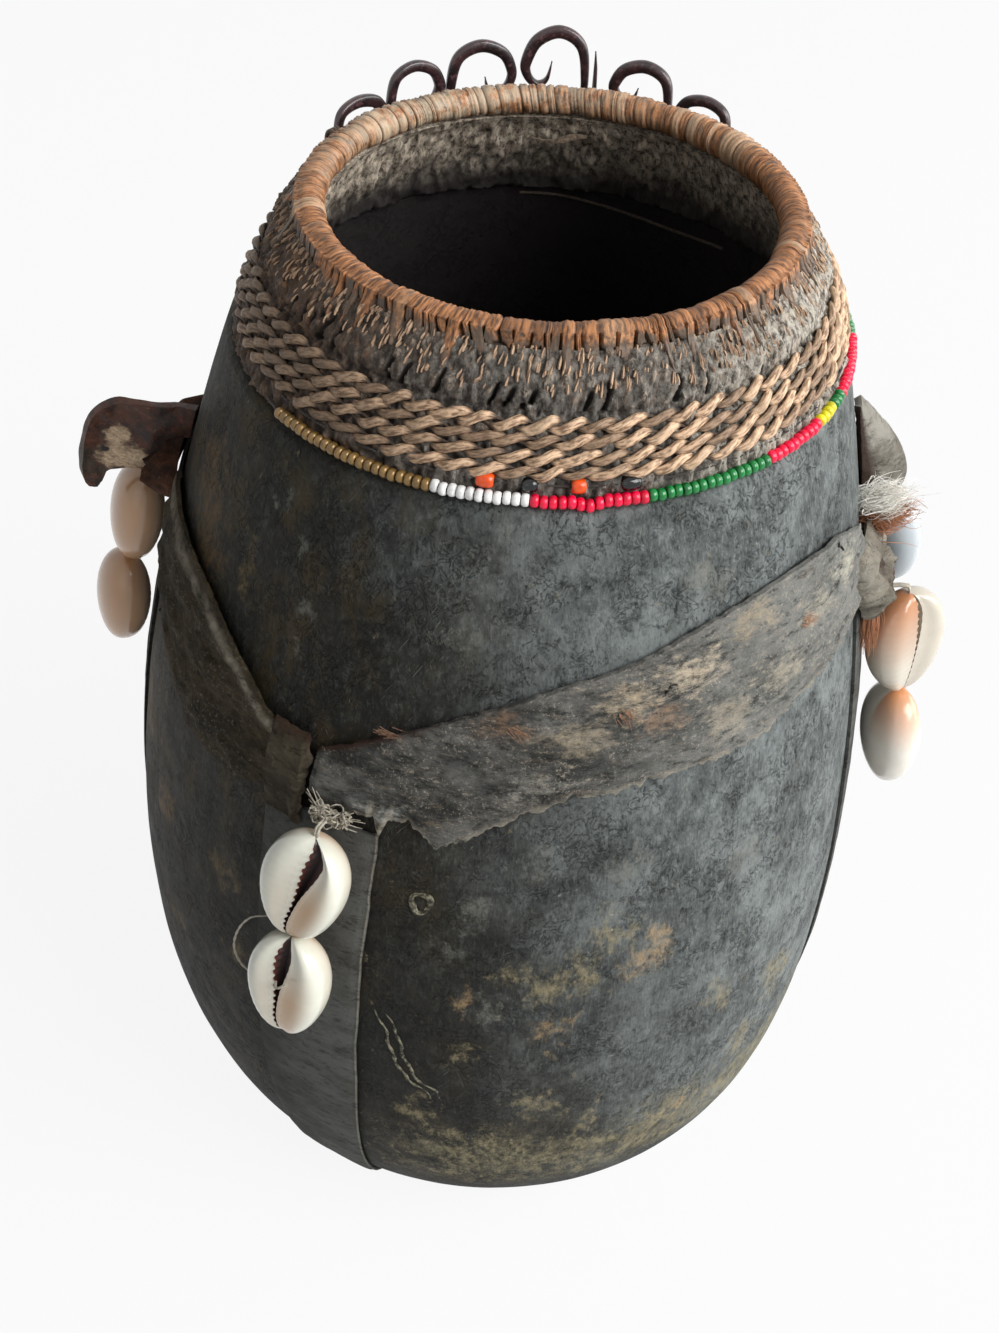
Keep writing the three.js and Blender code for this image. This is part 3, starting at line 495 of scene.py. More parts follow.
def spun(name, outline, steps):
    """An outline of radius and height, closed or between two points on the axis, spun round."""
    clear_selection()
    bpy.ops.mesh.primitive_circle_add(vertices=len(outline), fill_type="NOTHING")
    piece = named(bpy.context.object, name)
    for spot, (radius, height) in zip(piece.data.vertices, outline):
        spot.co = Vector((0, -radius, height)) * MM
    on_axis = [edge.index for edge in piece.data.edges
               if all(abs(piece.data.vertices[v].co.y) < 1e-9 for v in edge.vertices)]
    bpy.ops.object.mode_set(mode="EDIT")
    if on_axis:
        bpy.context.tool_settings.mesh_select_mode = (False, True, False)
        bpy.ops.mesh.select_all(action="DESELECT")
        bpy.ops.object.mode_set(mode="OBJECT")
        for number in on_axis:
            piece.data.edges[number].select = True
        bpy.ops.object.mode_set(mode="EDIT")
        bpy.ops.mesh.delete(type="EDGE")
        bpy.context.tool_settings.mesh_select_mode = (True, False, False)
    bpy.ops.mesh.select_all(action="SELECT")
    bpy.ops.mesh.spin(steps=steps, angle=tau, center=(0, 0, 0), axis=(0, 0, 1))
    return weld(piece, 1e-5)


def tubes(name, lines, sides=1):
    """Round strands along lines of points in metres, each with its radius in millimetres."""
    clear_selection()
    bpy.ops.curve.primitive_bezier_curve_add()
    piece = named(bpy.context.object, name)
    curve = piece.data
    curve.splines.clear()
    curve.bevel_depth, curve.bevel_resolution, curve.use_fill_caps = 1, sides, True
    for line in lines:
        spline = curve.splines.new("POLY")
        spline.points.add(len(line) - 1)
        for spot, (place, radius) in zip(spline.points, line):
            spot.co, spot.radius = (*place, 1), radius * MM
    bpy.ops.object.convert(target="MESH")
    piece = bpy.context.object
    piece.data.name = name
    return smoothed(piece, 60)


def joined(name, pieces):
    """Several pieces made one."""
    clear_selection()
    for piece in pieces:
        piece.select_set(True)
    bpy.context.view_layer.objects.active = pieces[0]
    if len(pieces) > 1:
        bpy.ops.object.join()
    return named(bpy.context.object, name)


def copied(model, name, matrix):
    """A copy of a modelled piece with its own mesh, moved in the mesh."""
    activate(model)
    bpy.ops.object.duplicate()
    piece = named(bpy.context.object, name)
    piece.data.transform(matrix)
    return piece


def removed(piece):
    """The model of a repeated shape goes once its copies are made."""
    activate(piece)
    bpy.ops.object.delete()


def settle(piece, finish, body, slot, *nodes):
    """The piece gets its finish and its body, and the solids that it stands for are hidden; slot is not
    used.
    """
    piece.data.materials.clear()
    piece.data.materials.append(finish)
    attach(piece, body)
    if nodes:
        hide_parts(*nodes)
    return piece


# Finishes


class Wire:
    """A node's output that takes part in plain sums."""

    def __init__(self, tree, socket=None):
        self.tree, self.socket = tree, socket

    def node(self, kind, settings=None, sockets=None, output=0):
        """A new node: its settings first, then the values or links of its sockets."""
        made = self.tree.nodes.new(kind)
        for name, value in (settings or {}).items():
            if name == "stops":
                ramp = made.color_ramp.elements
                for place, colour in value[1:-1]:
                    ramp.new(place).color = colour
                ramp[0].position, ramp[0].color = value[0]
                ramp[-1].position, ramp[-1].color = value[-1]
            else:
                setattr(made, name, value)
        for name, value in (sockets or {}).items():
            socket = made.inputs[name] if isinstance(name, int) else next(
                s for s in made.inputs if name in (s.identifier, s.name))
            if isinstance(value, Wire):
                self.tree.links.new(value.socket, socket)
            else:
                socket.default_value = value
        return Wire(self.tree, made.outputs[output])

    def maths(self, operation, first, second):
        return self.node("ShaderNodeMath", {"operation": operation}, {0: first, 1: second})

    def __add__(self, other):
        return self.maths("ADD", self, other)

    __radd__ = __add__

    def __mul__(self, other):
        return self.maths("MULTIPLY", self, other)

    __rmul__ = __mul__

    def __sub__(self, other):
        return self.maths("SUBTRACT", self, other)

    def __rsub__(self, other):
        return self.maths("SUBTRACT", other, self)

    def most(self, other):
        return self.maths("MAXIMUM", self, other)

    def span(self, low, high):
        """0 at low and 1 at high, smoothly."""
        return self.node("ShaderNodeMapRange", {"interpolation_type": "SMOOTHSTEP"},
                         {"Value": self, "From Min": low, "From Max": high})

    def mix(self, plain, other):
        """A colour between two, by this value."""
        return self.node("ShaderNodeMix", {"data_type": "RGBA"},
                         {"Factor_Float": self, "A_Color": plain, "B_Color": other}, 2)


class Finish(Wire):
    """A material in the making, with patterns sized in millimetres in the piece's own space."""

    def __init__(self, name, **constants):
        self.material = bpy.data.materials.new(name)
        self.material.use_nodes = True
        super().__init__(self.material.node_tree)
        self.shader = self.tree.nodes["Principled BSDF"]
        for socket, value in constants.items():
            self.shader.inputs[socket.replace("_", " ")].default_value = value
        self.place = self.node("ShaderNodeTexCoord", output=3)
        self.spread = self.place
        self.tone = None

    def lay(self, share, colour):
        """A colour over what is there already, by a share that may vary over the surface."""
        self.tone = share.mix(self.tone, colour)

    def wandering(self, size, amount, seed=0):
        """The piece's own space pushed about by millimetres, to make outlines ragged."""
        cloud = self.node("ShaderNodeTexNoise", {}, {
            "Vector": self.stretched([size] * 3, seed), "Scale": 1, "Detail": 5, "Roughness": 0.66}, 1)
        shift = self.node("ShaderNodeVectorMath", {"operation": "SUBTRACT"}, {0: cloud, 1: (0.5,) * 3})
        return self.node("ShaderNodeVectorMath", {"operation": "MULTIPLY_ADD"},
                         {0: shift, 1: (amount * MM,) * 3, 2: self.place})

    def stretched(self, stretch, seed, turn=0):
        """The piece's own space in units of the stretch, turned by degrees about Y."""
        return self.node("ShaderNodeMapping", {"vector_type": "TEXTURE"},
                         {"Vector": self.place, "Scale": [MM * s for s in stretch],
                          "Location": (seed * 0.173, seed * 0.071, seed * 0.119),
                          "Rotation": (0, turn * DEG, 0)})

    def grain(self, size, detail=3, harsh=0.55, stretch=(1, 1, 1), seed=0, turn=0):
        """Cloudy noise of a size."""
        return self.node(
            "ShaderNodeTexNoise", {},
            {"Vector": self.stretched([size * s for s in stretch], seed, turn), "Scale": 1,
             "Detail": detail, "Roughness": harsh})

    def axis(self, index):
        """One coordinate, in millimetres."""
        return self.node("ShaderNodeSeparateXYZ", {}, {"Vector": self.place}, index) * (1 / MM)

    def near(self, spot, reach, core=0.1, tall=1):
        """1 at a spot, falling to 0 at a reach in millimetres, farther up and down if tall."""
        place = self.node("ShaderNodeVectorMath", {"operation": "MULTIPLY"},
                          {0: self.spread, 1: (1, 1, 1 / tall)})
        away = self.node("ShaderNodeVectorMath", {"operation": "DISTANCE"},
                         {0: place, 1: (spot[0], spot[1], spot[2] / tall)}, 1)
        return away.span(reach * MM, reach * MM * core)

    def attribute(self, name):
        """A value kept on the mesh."""
        return self.node("ShaderNodeAttribute", {"attribute_name": name}, output=2)

    def streaks(self, thin, long, turn, seed):
        """Fine scratches of a width and length, turned by degrees about Y."""
        return self.grain(1, 2, 0.5, (thin, thin * 3, long), seed, turn).span(0.68, 0.73)

    def strands(self, across, along, seed=0, detail=3):
        """Streaks that run along a strand: so many across its texture and along it."""
        place = self.node("ShaderNodeMapping", {}, {
            "Vector": self.node("ShaderNodeTexCoord", output=2), "Scale": (across, along, 1),
            "Location": (seed, seed, seed)})
        return self.node("ShaderNodeTexNoise", {}, {"Vector": place, "Scale": 1, "Detail": detail})

    def set(self, name, value):
        """Links or sets a socket of the shader."""
        socket = self.shader.inputs[name]
        if isinstance(value, Wire):
            self.tree.links.new(value.socket, socket)
        else:
            socket.default_value = value

    def finished(self, *heights):
        """The material, with its tone and with bumps of given depths in millimetres."""
        self.set("Base Color", self.tone)
        self.bumps(*heights)
        return self.material

    def bumps(self, *heights):
        """Bumps of given depths in millimetres, one on the other."""
        normal = None
        for height, depth in heights:
            sockets = {"Height": height, "Distance": depth * MM, "Strength": 1}
            if normal is not None:
                sockets["Normal"] = normal
            normal = self.node("ShaderNodeBump", {}, sockets)
        self.set("Normal", normal)


def linear(*rgb):
    """A colour given as it shows on screen, 0 to 255, in Blender's own terms."""
    return tuple((c / 12.92 if c <= 0.04045 else ((c + 0.055) / 1.055) ** 2.4)
                 for c in (v / 255 for v in rgb)) + (1.0,)


def darker(tone, share):
    """A colour at a share of its light."""
    return tuple(c * share for c in tone[:3]) + (1,)


class VesselColours(bpy.types.PropertyGroup):
    """Colours of the vessel's materials."""


class VesselSizes(bpy.types.PropertyGroup):
    """Sizes of what is added to the plain solids."""


COLOURS = {
    # The wood tone of the right side and the darker tone of the left side are partly painted light and
    # painted shade: the right faces the key lamp.
    "wood": ("Wood", "Dusty smoked wood of the right side", (124, 130, 129)),
    "wood_greasy": ("Greasy wood", "Smoked wood of the left side", (42, 40, 35)),
    "wood_dark": ("Dark wood", "Darkest patches of the body", (22, 22, 21)),
    "wood_olive": ("Olive wood", "Olive patches of the body", (78, 66, 42)),
    "resin": ("Resin", "Dark coating of the collar", (116, 111, 104)),
    "fibre": ("Fibre", "Twined and wrapped fibre", (228, 192, 158)),
    "fibre_dark": ("Dark fibre", "Fibre in the shade of the stitches", (130, 102, 78)),
    "rim": ("Rim fibre", "Polished fibre of the rim", (186, 128, 84)),
    "hide": ("Hide", "Harness hide", (103, 102, 98)),
    "hide_dark": ("Dark hide", "Folds and ends of the hide", (56, 49, 40)),
    "dust": ("Dust", "Pale scuffs on the hide", (176, 166, 150)),
    "rawhide": ("Rawhide", "Stiff tab at the left knot", (80, 48, 34)),
    "shell": ("Shell", "Cowrie enamel", (226, 225, 210)),
    "shell_tan": ("Shell back", "Tan of the cowrie's lips and back", (196, 158, 124)),
    "hair_pale": ("Pale hair", "Pale ends of the hair", (244, 241, 233)),
    "hair_brown": ("Brown hair", "Roots of the hair", (172, 118, 84)),
    "thread": ("Thread", "Pale sewing thread", (198, 190, 172)),
    "crest": ("Crest", "Dark strips of the crest", (58, 36, 38)),
    "gold": ("Gold beads", "Seed beads of the outer runs", (134, 104, 56)),
    "white": ("White beads", "White seed beads", (246, 245, 242)),
    "red": ("Red beads", "Red seed beads", (255, 0, 66)),
    "green": ("Green beads", "Green seed beads", (8, 122, 54)),
    "yellow": ("Yellow beads", "Yellow seed beads", (232, 220, 24)),
    "orange": ("Orange beads", "Larger orange beads", (240, 84, 18)),
    "black": ("Black beads", "Larger black beads", (14, 15, 18)),
}
SIZES = {
    "hair_length": ("Hair length", "Length of the longest hairs of the tufts", 20),
    "stitch": ("Stitch", "Spacing of the stitches in the collar", 3),
    "twist": ("Twist", "Length of one twist of the collar's cord", 10.6),
    "thread_thick": ("Thread", "Thickness of the sewing thread", 0.6),
}
for key, (label, note, colour) in COLOURS.items():
    VesselColours.__annotations__[key] = bpy.props.FloatVectorProperty(
        name=label, description=note, default=linear(*colour), size=4, subtype="COLOR",
        min=0, max=1)
for key, (label, note, length) in SIZES.items():
    VesselSizes.__annotations__[key] = bpy.props.FloatProperty(
        name=label, description=note, default=length * MM, unit="LENGTH", subtype="DISTANCE")


def colour(name):
    """A colour chosen in the panel."""
    return tuple(getattr(bpy.context.scene.vessel_colours, name))


def size(name):
    """A size chosen in the panel, in millimetres."""
    return getattr(bpy.context.scene.vessel_sizes, name) / MM


def wood_finish():
    """Smoked wood: greasy and darker on the left, dusty and lighter towards the upper right, worn to tan
    low down and in patches; the change from left to right is partly painted light and shade, and the low
    left is painted shade.
    """
    f = Finish("body_wood", Specular_IOR_Level=0.1)
    f.spread = f.wandering(9, 22, 21)
    across, up = f.axis(0), f.axis(2)
    # Lighter towards the right and upwards, where the key lamp is: partly dust, partly painted light.
    dusty = (across + up * 0.24 + f.grain(30, 5, 0.62, seed=1) * 70).span(46, 116)
    f.tone = dusty.mix(colour("wood_greasy"), colour("wood"))
    shade = f.grain(22, 6, 0.68, (1, 1, 1.4), 2).span(0.58, 0.42)
    f.lay(shade * 0.5, colour("wood_dark"))
    mottle = f.grain(2.6, 9, 0.8, (1, 1, 1.5), 3)
    f.lay(mottle.span(0.5, 0.66) * (dusty * 0.42 + 0.12), linear(148, 154, 150))
    f.lay(mottle.span(0.5, 0.36) * 0.55, linear(18, 19, 20))
    strokes = f.grain(1, 4, 0.7, (0.5, 0.5, 3.6), 4)
    f.lay(strokes.span(0.54, 0.68) * (dusty * 0.35 + 0.12), linear(142, 146, 140))
    f.lay(strokes.span(0.46, 0.34) * 0.4, linear(22, 22, 21))
    # Painted shade: darker low on the left, away from the key lamp.
    low_left_shade = (across * -1).span(-24, 26) * up.span(140, 84)
    f.lay(low_left_shade * 0.62, linear(14, 14, 11))
    olive = (across * -1).span(-20, 50) * f.grain(9, 7, 0.74, (1, 1, 2), 5).span(0.47, 0.62)
    f.lay(olive * (0.5 - low_left_shade * 0.3), colour("wood_olive"))
    swirl = f.node("ShaderNodeTexNoise", {}, {
        "Vector": f.stretched((3, 3, 3.6), 31), "Scale": 1, "Detail": 5, "Roughness": 0.66,
        "Distortion": 1.3}) - 0.5
    cracks = swirl.most(swirl * -1).span(0.028, 0.004) * f.grain(11, 4, 0.6, seed=32).span(0.44, 0.56)
    f.lay(cracks * 0.6, linear(20, 21, 22))
    pits = f.grain(0.9, 4, 0.7, seed=33).span(0.38, 0.3)
    f.lay(pits * 0.7, linear(16, 16, 17))
    broken = f.grain(3, 10, 0.84, (1, 1, 1.6), 6)
    crumbs = f.grain(1.5, 7, 0.8, (1, 1, 1.8), 41).span(0.36, 0.58) * 0.85 + 0.1
    level = up + (f.grain(26, 4, 0.6, seed=34) - 0.5) * 40
    foot = level.span(64, 46) * up.span(18, 34) * (across + 40).span(0, 40)
    film = foot * f.grain(11, 9, 0.8, (1.7, 1.7, 0.8), 8).span(0.43, 0.56)
    f.lay(film * crumbs * 0.75, linear(122, 114, 90))
    f.lay((foot * 0.16 + broken).span(0.58, 0.74) * crumbs * 0.8, linear(160, 150, 118))
    for rgb, share, spots in PATINA:
        worn = functools.reduce(Wire.most, [
            f.near(at(az, body_radius(z), z), reach * 1.2, 0, 1.3) for az, z, reach in spots])
        f.lay((worn * 0.3 + broken).span(0.6, 0.84) * crumbs * share, linear(*rgb))
    scratch = f.streaks(0.22, 7, 34, 9).most(f.streaks(0.2, 9, -21, 10))
    scratch = scratch * f.grain(15, 3, 0.5, seed=11).span(0.5, 0.64)
    f.lay(scratch * 0.5, linear(156, 156, 146))
    specks = f.grain(0.8, 2, 0.5, seed=12).span(0.7, 0.76) * (dusty * 0.8 + 0.15)
    f.lay(specks * f.grain(17, 3, seed=13).span(0.44, 0.6) * 0.7, linear(180, 178, 166))
    f.lay(f.attribute("inner"), linear(54, 50, 50))
    f.set("Roughness", f.grain(7, 5, 0.7, seed=14) * 0.35 + 0.4)
    return f.finished((f.grain(8, 5, 0.6, (1, 1, 1.5), 15), 0.9), (mottle, 0.5), (strokes, 0.18),
                      (scratch, -0.05), (cracks, -0.2), (pits, -0.15), (broken, 0.2))


def hide_finish(name, plain, dark, dusty, seed, marks=(), paler=0, left_shade=0):
    """Old hide: dull, gritty where it is rubbed, with painted shade in its gaps and hollows and on its
    left, pale edges, a painted highlight on the front fold's edge, holes painted as near-black spots, and
    stains.
    """
    f = Finish(name, Roughness=0.8, Specular_IOR_Level=0.12)
    f.spread = f.wandering(6, 12, seed)
    f.tone = f.grain(12, 7, 0.7, (1.4, 1.4, 0.7), seed).span(0.38, 0.6).mix(dark, plain)
    pores = f.grain(2.4, 8, 0.78, (1.6, 1.6, 0.7), seed + 1)
    if paler:
        right = (f.axis(0) + f.grain(16, 5, 0.66, seed=seed + 9) * 50).span(25, 92)
        f.lay(right * paler, linear(146, 147, 142))
    f.lay(pores.span(0.5, 0.36) * 0.75, darker(dark, 0.3))
    dust = f.grain(9, 6, 0.72, (1.8, 1.8, 0.8), seed + 2).span(0.38, 0.58)
    rubbed = f.grain(3, 7, 0.76, (3, 3, 0.8), seed + 8).span(0.55, 0.7)
    f.lay(rubbed * dusty * 0.5, linear(150, 134, 112))
    grit = f.grain(0.7, 3, 0.8, seed=seed + 3).span(0.54, 0.68)
    f.lay(dust * grit * dusty * 0.82, colour("dust"))
    f.lay(dust * pores.span(0.52, 0.72) * (dusty * 0.7), linear(146, 142, 132))
    # Painted shade: darker towards the left, away from the key lamp.
    if left_shade:
        far = f.axis(0) + f.grain(12, 5, 0.66, seed=seed + 10) * 24
        f.lay(far.span(-24, -44) * left_shade, linear(26, 26, 23))
    # Pale where marked: the bands' torn edges, the right knot's ridges and the straps' right edges, and a
    # painted highlight on the front fold's right edge.
    f.lay(f.attribute("edge") * pores.span(0.3, 0.56), linear(162, 154, 138))
    # Painted shade: dark in the gap by the front fold, in the right knot's dents and where the leaf meets
    # the wall.
    f.lay(f.attribute("burnt") * 0.9, linear(50, 31, 23))
    crumbs = f.grain(1.3, 7, 0.8, (2, 2, 0.9), seed + 11).span(0.36, 0.58) * 0.85 + 0.1
    for spot, reach, mark, share in marks:
        patch = (f.near(spot, reach * 1.3, 0, 0.6) * 0.3 + pores).span(0.58, 0.84)
        f.lay(patch * crumbs * share, mark)
    # The holes are not cut: each is a near-black spot of painted shade.
    for az, z in BAND_HOLES if marks else ():
        f.lay(f.near(on_wall(az, z, 1.8), 1.6, 0.6), linear(12, 11, 10))
    return f.finished((f.grain(3.4, 6, 0.7, (1.5, 1.5, 0.7), seed + 5), 0.7), (pores, 0.5),
                      (f.grain(0.7, 4, 0.75, seed=seed + 6), 0.2))


def resin_finish():
    """Collar: dark resin over stitches whose fibre shows through; inside, paler fibre near the top and
    darker deeper down.
    """
    f = Finish("collar_basketry", Roughness=0.62, Specular_IOR_Level=0.3)
    across, up = f.axis(0), f.axis(2)
    raised = f.attribute("stitch")
    left, right = (across * -1).span(4, 46), across.span(14, 50)
    plain = left.mix(colour("resin"), linear(78, 58, 42))
    plain = right.mix(plain, linear(192, 184, 170))
    crumb = f.grain(1.2, 7, 0.78, (1, 1, 2.6), 3)
    f.tone = crumb.span(0.38, 0.58).mix(linear(46, 39, 33), plain)
    # Pale on the stitches' tops: fibre worn through the resin, partly painted highlight.
    worn_tops_and_highlight = raised.span(0.62, 0.95) * crumb.span(0.42, 0.56)
    f.lay(worn_tops_and_highlight * (1 - left * 0.6) * 0.6, linear(188, 168, 146))
    pale = crumb.span(0.55, 0.68) * f.grain(6, 5, 0.66, seed=4).span(0.42, 0.6)
    f.lay(pale * (1 - left * 0.7) * 0.85, linear(200, 194, 182))
    brown = f.grain(2, 6, 0.74, (1, 1, 2.4), 5).span(0.52, 0.64)
    f.lay(brown * (left * 0.3 + 0.24), linear(150, 112, 82))
    # Painted shade: near black in the slots and low places between stitches.
    f.lay(raised.span(0.42, 0.05) * 0.9, linear(20, 15, 12))
    within = f.grain(1.3, 8, 0.8, (1, 1, 2), 6).span(0.38, 0.6).mix(
        linear(74, 64, 54), linear(236, 220, 198))
    # Darker deeper inside the mouth.
    depth = up + (f.grain(4, 6, 0.74, (1, 1, 1.8), 8) - 0.5) * 26
    within = depth.span(RIM_HEIGHT - 4, RIM_HEIGHT - 24).mix(within, linear(54, 50, 48))
    within = up.span(RIM_HEIGHT - 16, RIM_HEIGHT - 23).mix(within, linear(54, 50, 48))
    f.lay(f.attribute("inner"), within)
    return f.finished((crumb, 0.5), (f.grain(0.5, 4, 0.7, seed=7), 0.14))


def strand_finish(name, pale, dark, counts, dull, seed=0, resin=0.0, left_shade=0.0):
    """Fibre whose streaks run along its strands: counts are streaks across and along."""
    f = Finish(name, Roughness=dull, Specular_IOR_Level=0.35)
    streak = f.strands(*counts, seed)
    f.tone = streak.span(0.34, 0.62).mix(dark, pale)
    shade = f.attribute("shade")
    f.lay(shade.span(0.35, 0) * 0.6, darker(dark, 0.4))
    f.lay(shade.span(0.65, 1) * 0.5, linear(218, 190, 158))
    grime = f.grain(4, 7, 0.76, seed=seed + 1)
    f.lay(grime.span(0.52, 0.68) * 0.45, linear(78, 66, 56))
    # Paler towards the back and the left, in patches.
    paler_back_left = f.axis(1).span(-10, 40) * f.axis(0).span(40, -20) * grime.span(0.6, 0.44)
    f.lay(paler_back_left * 0.6, linear(206, 194, 170))
    # Painted shade: darker towards the left, away from the key lamp.
    f.lay(f.axis(0).span(-4, -46) * left_shade, linear(62, 50, 38))
    if resin:
        coat = (f.attribute("coat") * 0.5 + grime).span(0.62, 0.86)
        f.lay(coat * resin, linear(86, 76, 66))
    # Painted shade in the crevices between strips and plies, at the tongues' ends and where plies sink.
    f.lay(f.attribute("tuck") * 0.9, linear(34, 26, 20))
    return f.finished((streak, 0.2), (f.grain(0.5, 4, 0.7, seed=seed + 2), 0.12))


def shell_finish(name, plain, tan, share, seed):
    """Cowrie enamel: off-white, tan at the lips and on the back, dark inside the slit as painted shade."""
    f = Finish(name, Specular_IOR_Level=0.5, Coat_Roughness=0.12, Coat_Weight=0.35)
    cloud = f.grain(8, 3, 0.5, seed=seed).span(0.4, 0.65)
    f.tone = (cloud * 0.35).mix(plain, darker(plain, 0.78))
    f.lay(f.attribute("back") * share, tan)
    f.lay(f.attribute("lip") * 0.9, linear(190, 144, 92))
    # Painted shade inside the slit: red-brown at its edge, near black deeper in.
    deep = f.attribute("deep")
    f.lay(deep.span(0.1, 0.75), linear(92, 34, 20))
    f.lay(deep.span(0.6, 1), linear(26, 10, 9))
    f.set("Roughness", deep * 0.5 + 0.24)
    return f.finished((f.grain(1.5, 3, 0.5, seed=seed + 1), 0.03))


def glass_finish(key):
    """A bead's glass, each bead slightly different."""
    f = Finish("bead_" + key, Roughness=GLASS[key][0], Coat_Weight=0.25, Coat_Roughness=0.06,
               Metallic=GLASS[key][1], Specular_IOR_Level=0.4)
    f.tone = f.grain(2.4, 2, seed=9).span(0.3, 0.6).mix(darker(colour(key), 0.6), colour(key))
    return f.finished((f.grain(0.6, 2, seed=2), 0.03))


def thread_finish(name, tone, dark):
    """Fibrous thread, twisted."""
    f = Finish(name, Roughness=0.9, Sheen_Weight=0.2)
    f.tone = f.grain(0.7, 4, 0.7).span(0.35, 0.65).mix(dark, tone)
    return f.finished((f.grain(0.22, 4, 0.7), 0.12))


def hair_finish():
    """Goat hair: white above, orange-brown below, with darker patches."""
    f = Finish("hair", Roughness=0.6)
    f.tone = f.attribute("tip").span(0.35, 0.6).mix(colour("hair_brown"), colour("hair_pale"))
    f.lay(f.grain(1.8, 3).span(0.58, 0.7) * 0.35, linear(120, 96, 76))
    return f.finished((f.grain(0.3, 2), 0.02))


def rawhide_finish():
    """Stiff dark red-brown rawhide with a pale scraped patch and an olive rolled end."""
    f = Finish("rawhide", Coat_Weight=0.15, Coat_Roughness=0.3, Specular_IOR_Level=0.3)
    f.spread = f.wandering(3, 4, 4)
    blotch = f.grain(5, 7, 0.7, seed=2)
    f.tone = blotch.span(0.38, 0.6).mix(linear(30, 20, 15), colour("rawhide"))
    red = f.grain(2.4, 7, 0.76, (1, 1, 0.5), 8, 38).span(0.5, 0.64)
    f.lay(red * 0.5, linear(124, 72, 54))
    creased = f.grain(3, 8, 0.78, (1, 1, 0.6), 9, 20)
    scraped = functools.reduce(Wire.most, [
        f.near(upright(TAB_AZ, spot), reach, 0.3) for *spot, reach in SCRAPES])
    f.lay((scraped * 0.5 + creased).span(0.62, 0.95) * 0.75, linear(150, 124, 98))
    fibres = f.grain(0.9, 6, 0.8, (1, 1, 0.5), 12, 20).span(0.34, 0.56) * 0.8 + 0.15
    f.lay((scraped * 0.3 + creased).span(0.6, 0.9) * fibres, linear(232, 204, 170))
    rolled = f.near(upright(TAB_AZ, (22.6, 40)), 7, 0.3)
    f.lay(rolled * creased.span(0.66, 0.46), linear(52, 46, 34))
    # A near-black spot where a hole is, not cut: painted shade.
    f.lay(f.near(upright(TAB_AZ, (17.8, 37.2)), 1.5, 0.6), linear(14, 10, 8))
    f.set("Roughness", f.grain(3, 4, seed=7) * 0.4 + 0.36)
    return f.finished((blotch, 0.9), (creased, 0.4), (f.grain(0.8, 4, 0.7, seed=6), 0.16))


def crest_finish():
    """Dark, slightly shiny strip, reddish where it is rubbed."""
    f = Finish("crest_strip", Roughness=0.36, Coat_Weight=0.3, Coat_Roughness=0.2)
    f.tone = f.grain(4, 5, 0.65, seed=1).span(0.4, 0.62).mix(linear(30, 20, 22), colour("crest"))
    f.lay(f.grain(1.6, 5, 0.7, seed=2).span(0.52, 0.68) * 0.6, linear(126, 88, 92))
    return f.finished((f.grain(1.2, 4, 0.6, seed=3), 0.12))


def looked_at(wire):
    """1 where the camera looks, straight or by way of gloss or glass."""
    path = "ShaderNodeLightPath"
    return wire.node(path).most(wire.node(path, output=3)).most(wire.node(path, output=6))


def painted(piece, **layers):
    """Named values for each corner, kept on the mesh for its material."""
    for name, values in layers.items():
        layer = piece.data.attributes.new(name, "FLOAT", "POINT")
        layer.data.foreach_set("value", values)


# The pieces


class VESSEL_OT_stage(bpy.types.Operator):
    """Camera at the photograph's angle, pale floor and soft lamps"""

    bl_idname = "vessel.stage"
    bl_label = "Stage"

    def execute(self, context):
        pitch, roll = CAMERA_PITCH * DEG, CAMERA_ROLL * DEG
        ahead = Vector((0, cos(pitch), -sin(pitch)))
        level, rise = Vector((1, 0, 0)), Vector((0, sin(pitch), cos(pitch)))
        right = cos(roll) * level + sin(roll) * rise
        top = cos(roll) * rise - sin(roll) * level
        turn = Matrix((right, top, -ahead)).transposed().to_euler()
        bpy.ops.object.camera_add(location=Vector(CAMERA_PLACE) * MM, rotation=turn)
        camera = context.object
        camera.data.sensor_width, camera.data.lens = SENSOR, LENS
        camera.data.clip_start = 0.01
        context.scene.camera = camera
        for name, place, width, watts in LAMPS:
            aim = (Vector(LAMP_AIM) - Vector(place)).to_track_quat("-Z", "Y").to_euler()
            bpy.ops.object.light_add(type="AREA", location=place, rotation=aim)
            lamp = named(context.object, name)
            lamp.data.size, lamp.data.energy = width, watts
        clear_selection()
        bpy.ops.mesh.primitive_circle_add(vertices=64, radius=FLOOR_SIZE, fill_type="NGON")
        ground = named(context.object, "floor")
        f = Finish("floor", Roughness=0.9)
        f.set("Base Color", FLOOR_TONE)
        glow = f.node("ShaderNodeEmission", {}, {"Color": WHITE, "Strength": 1.0})
        shader = Wire(f.tree, f.shader.outputs[0])
        both = f.node("ShaderNodeMixShader", {}, {0: looked_at(f) * FLOOR_GLOW, 1: shader, 2: glow})
        f.tree.links.new(both.socket, f.tree.nodes["Material Output"].inputs["Surface"])
        ground.data.materials.append(f.material)
        world = bpy.data.worlds.new("studio")
        world.use_nodes = True
        context.scene.world = world
        w = Wire(world.node_tree)
        back = world.node_tree.nodes["Background"]
        white = w.node("ShaderNodeBackground", {}, {"Color": WHITE, "Strength": 1.0})
        back.inputs["Color"].default_value = WORLD_TINT
        back.inputs["Strength"].default_value = WORLD_LIGHT
        plain = Wire(w.tree, back.outputs[0])
        both = w.node("ShaderNodeMixShader", {}, {0: looked_at(w), 1: plain, 2: white})
        w.tree.links.new(both.socket, w.tree.nodes["World Output"].inputs["Surface"])
        context.scene.view_settings.view_transform = "Standard"
        return {"FINISHED"}


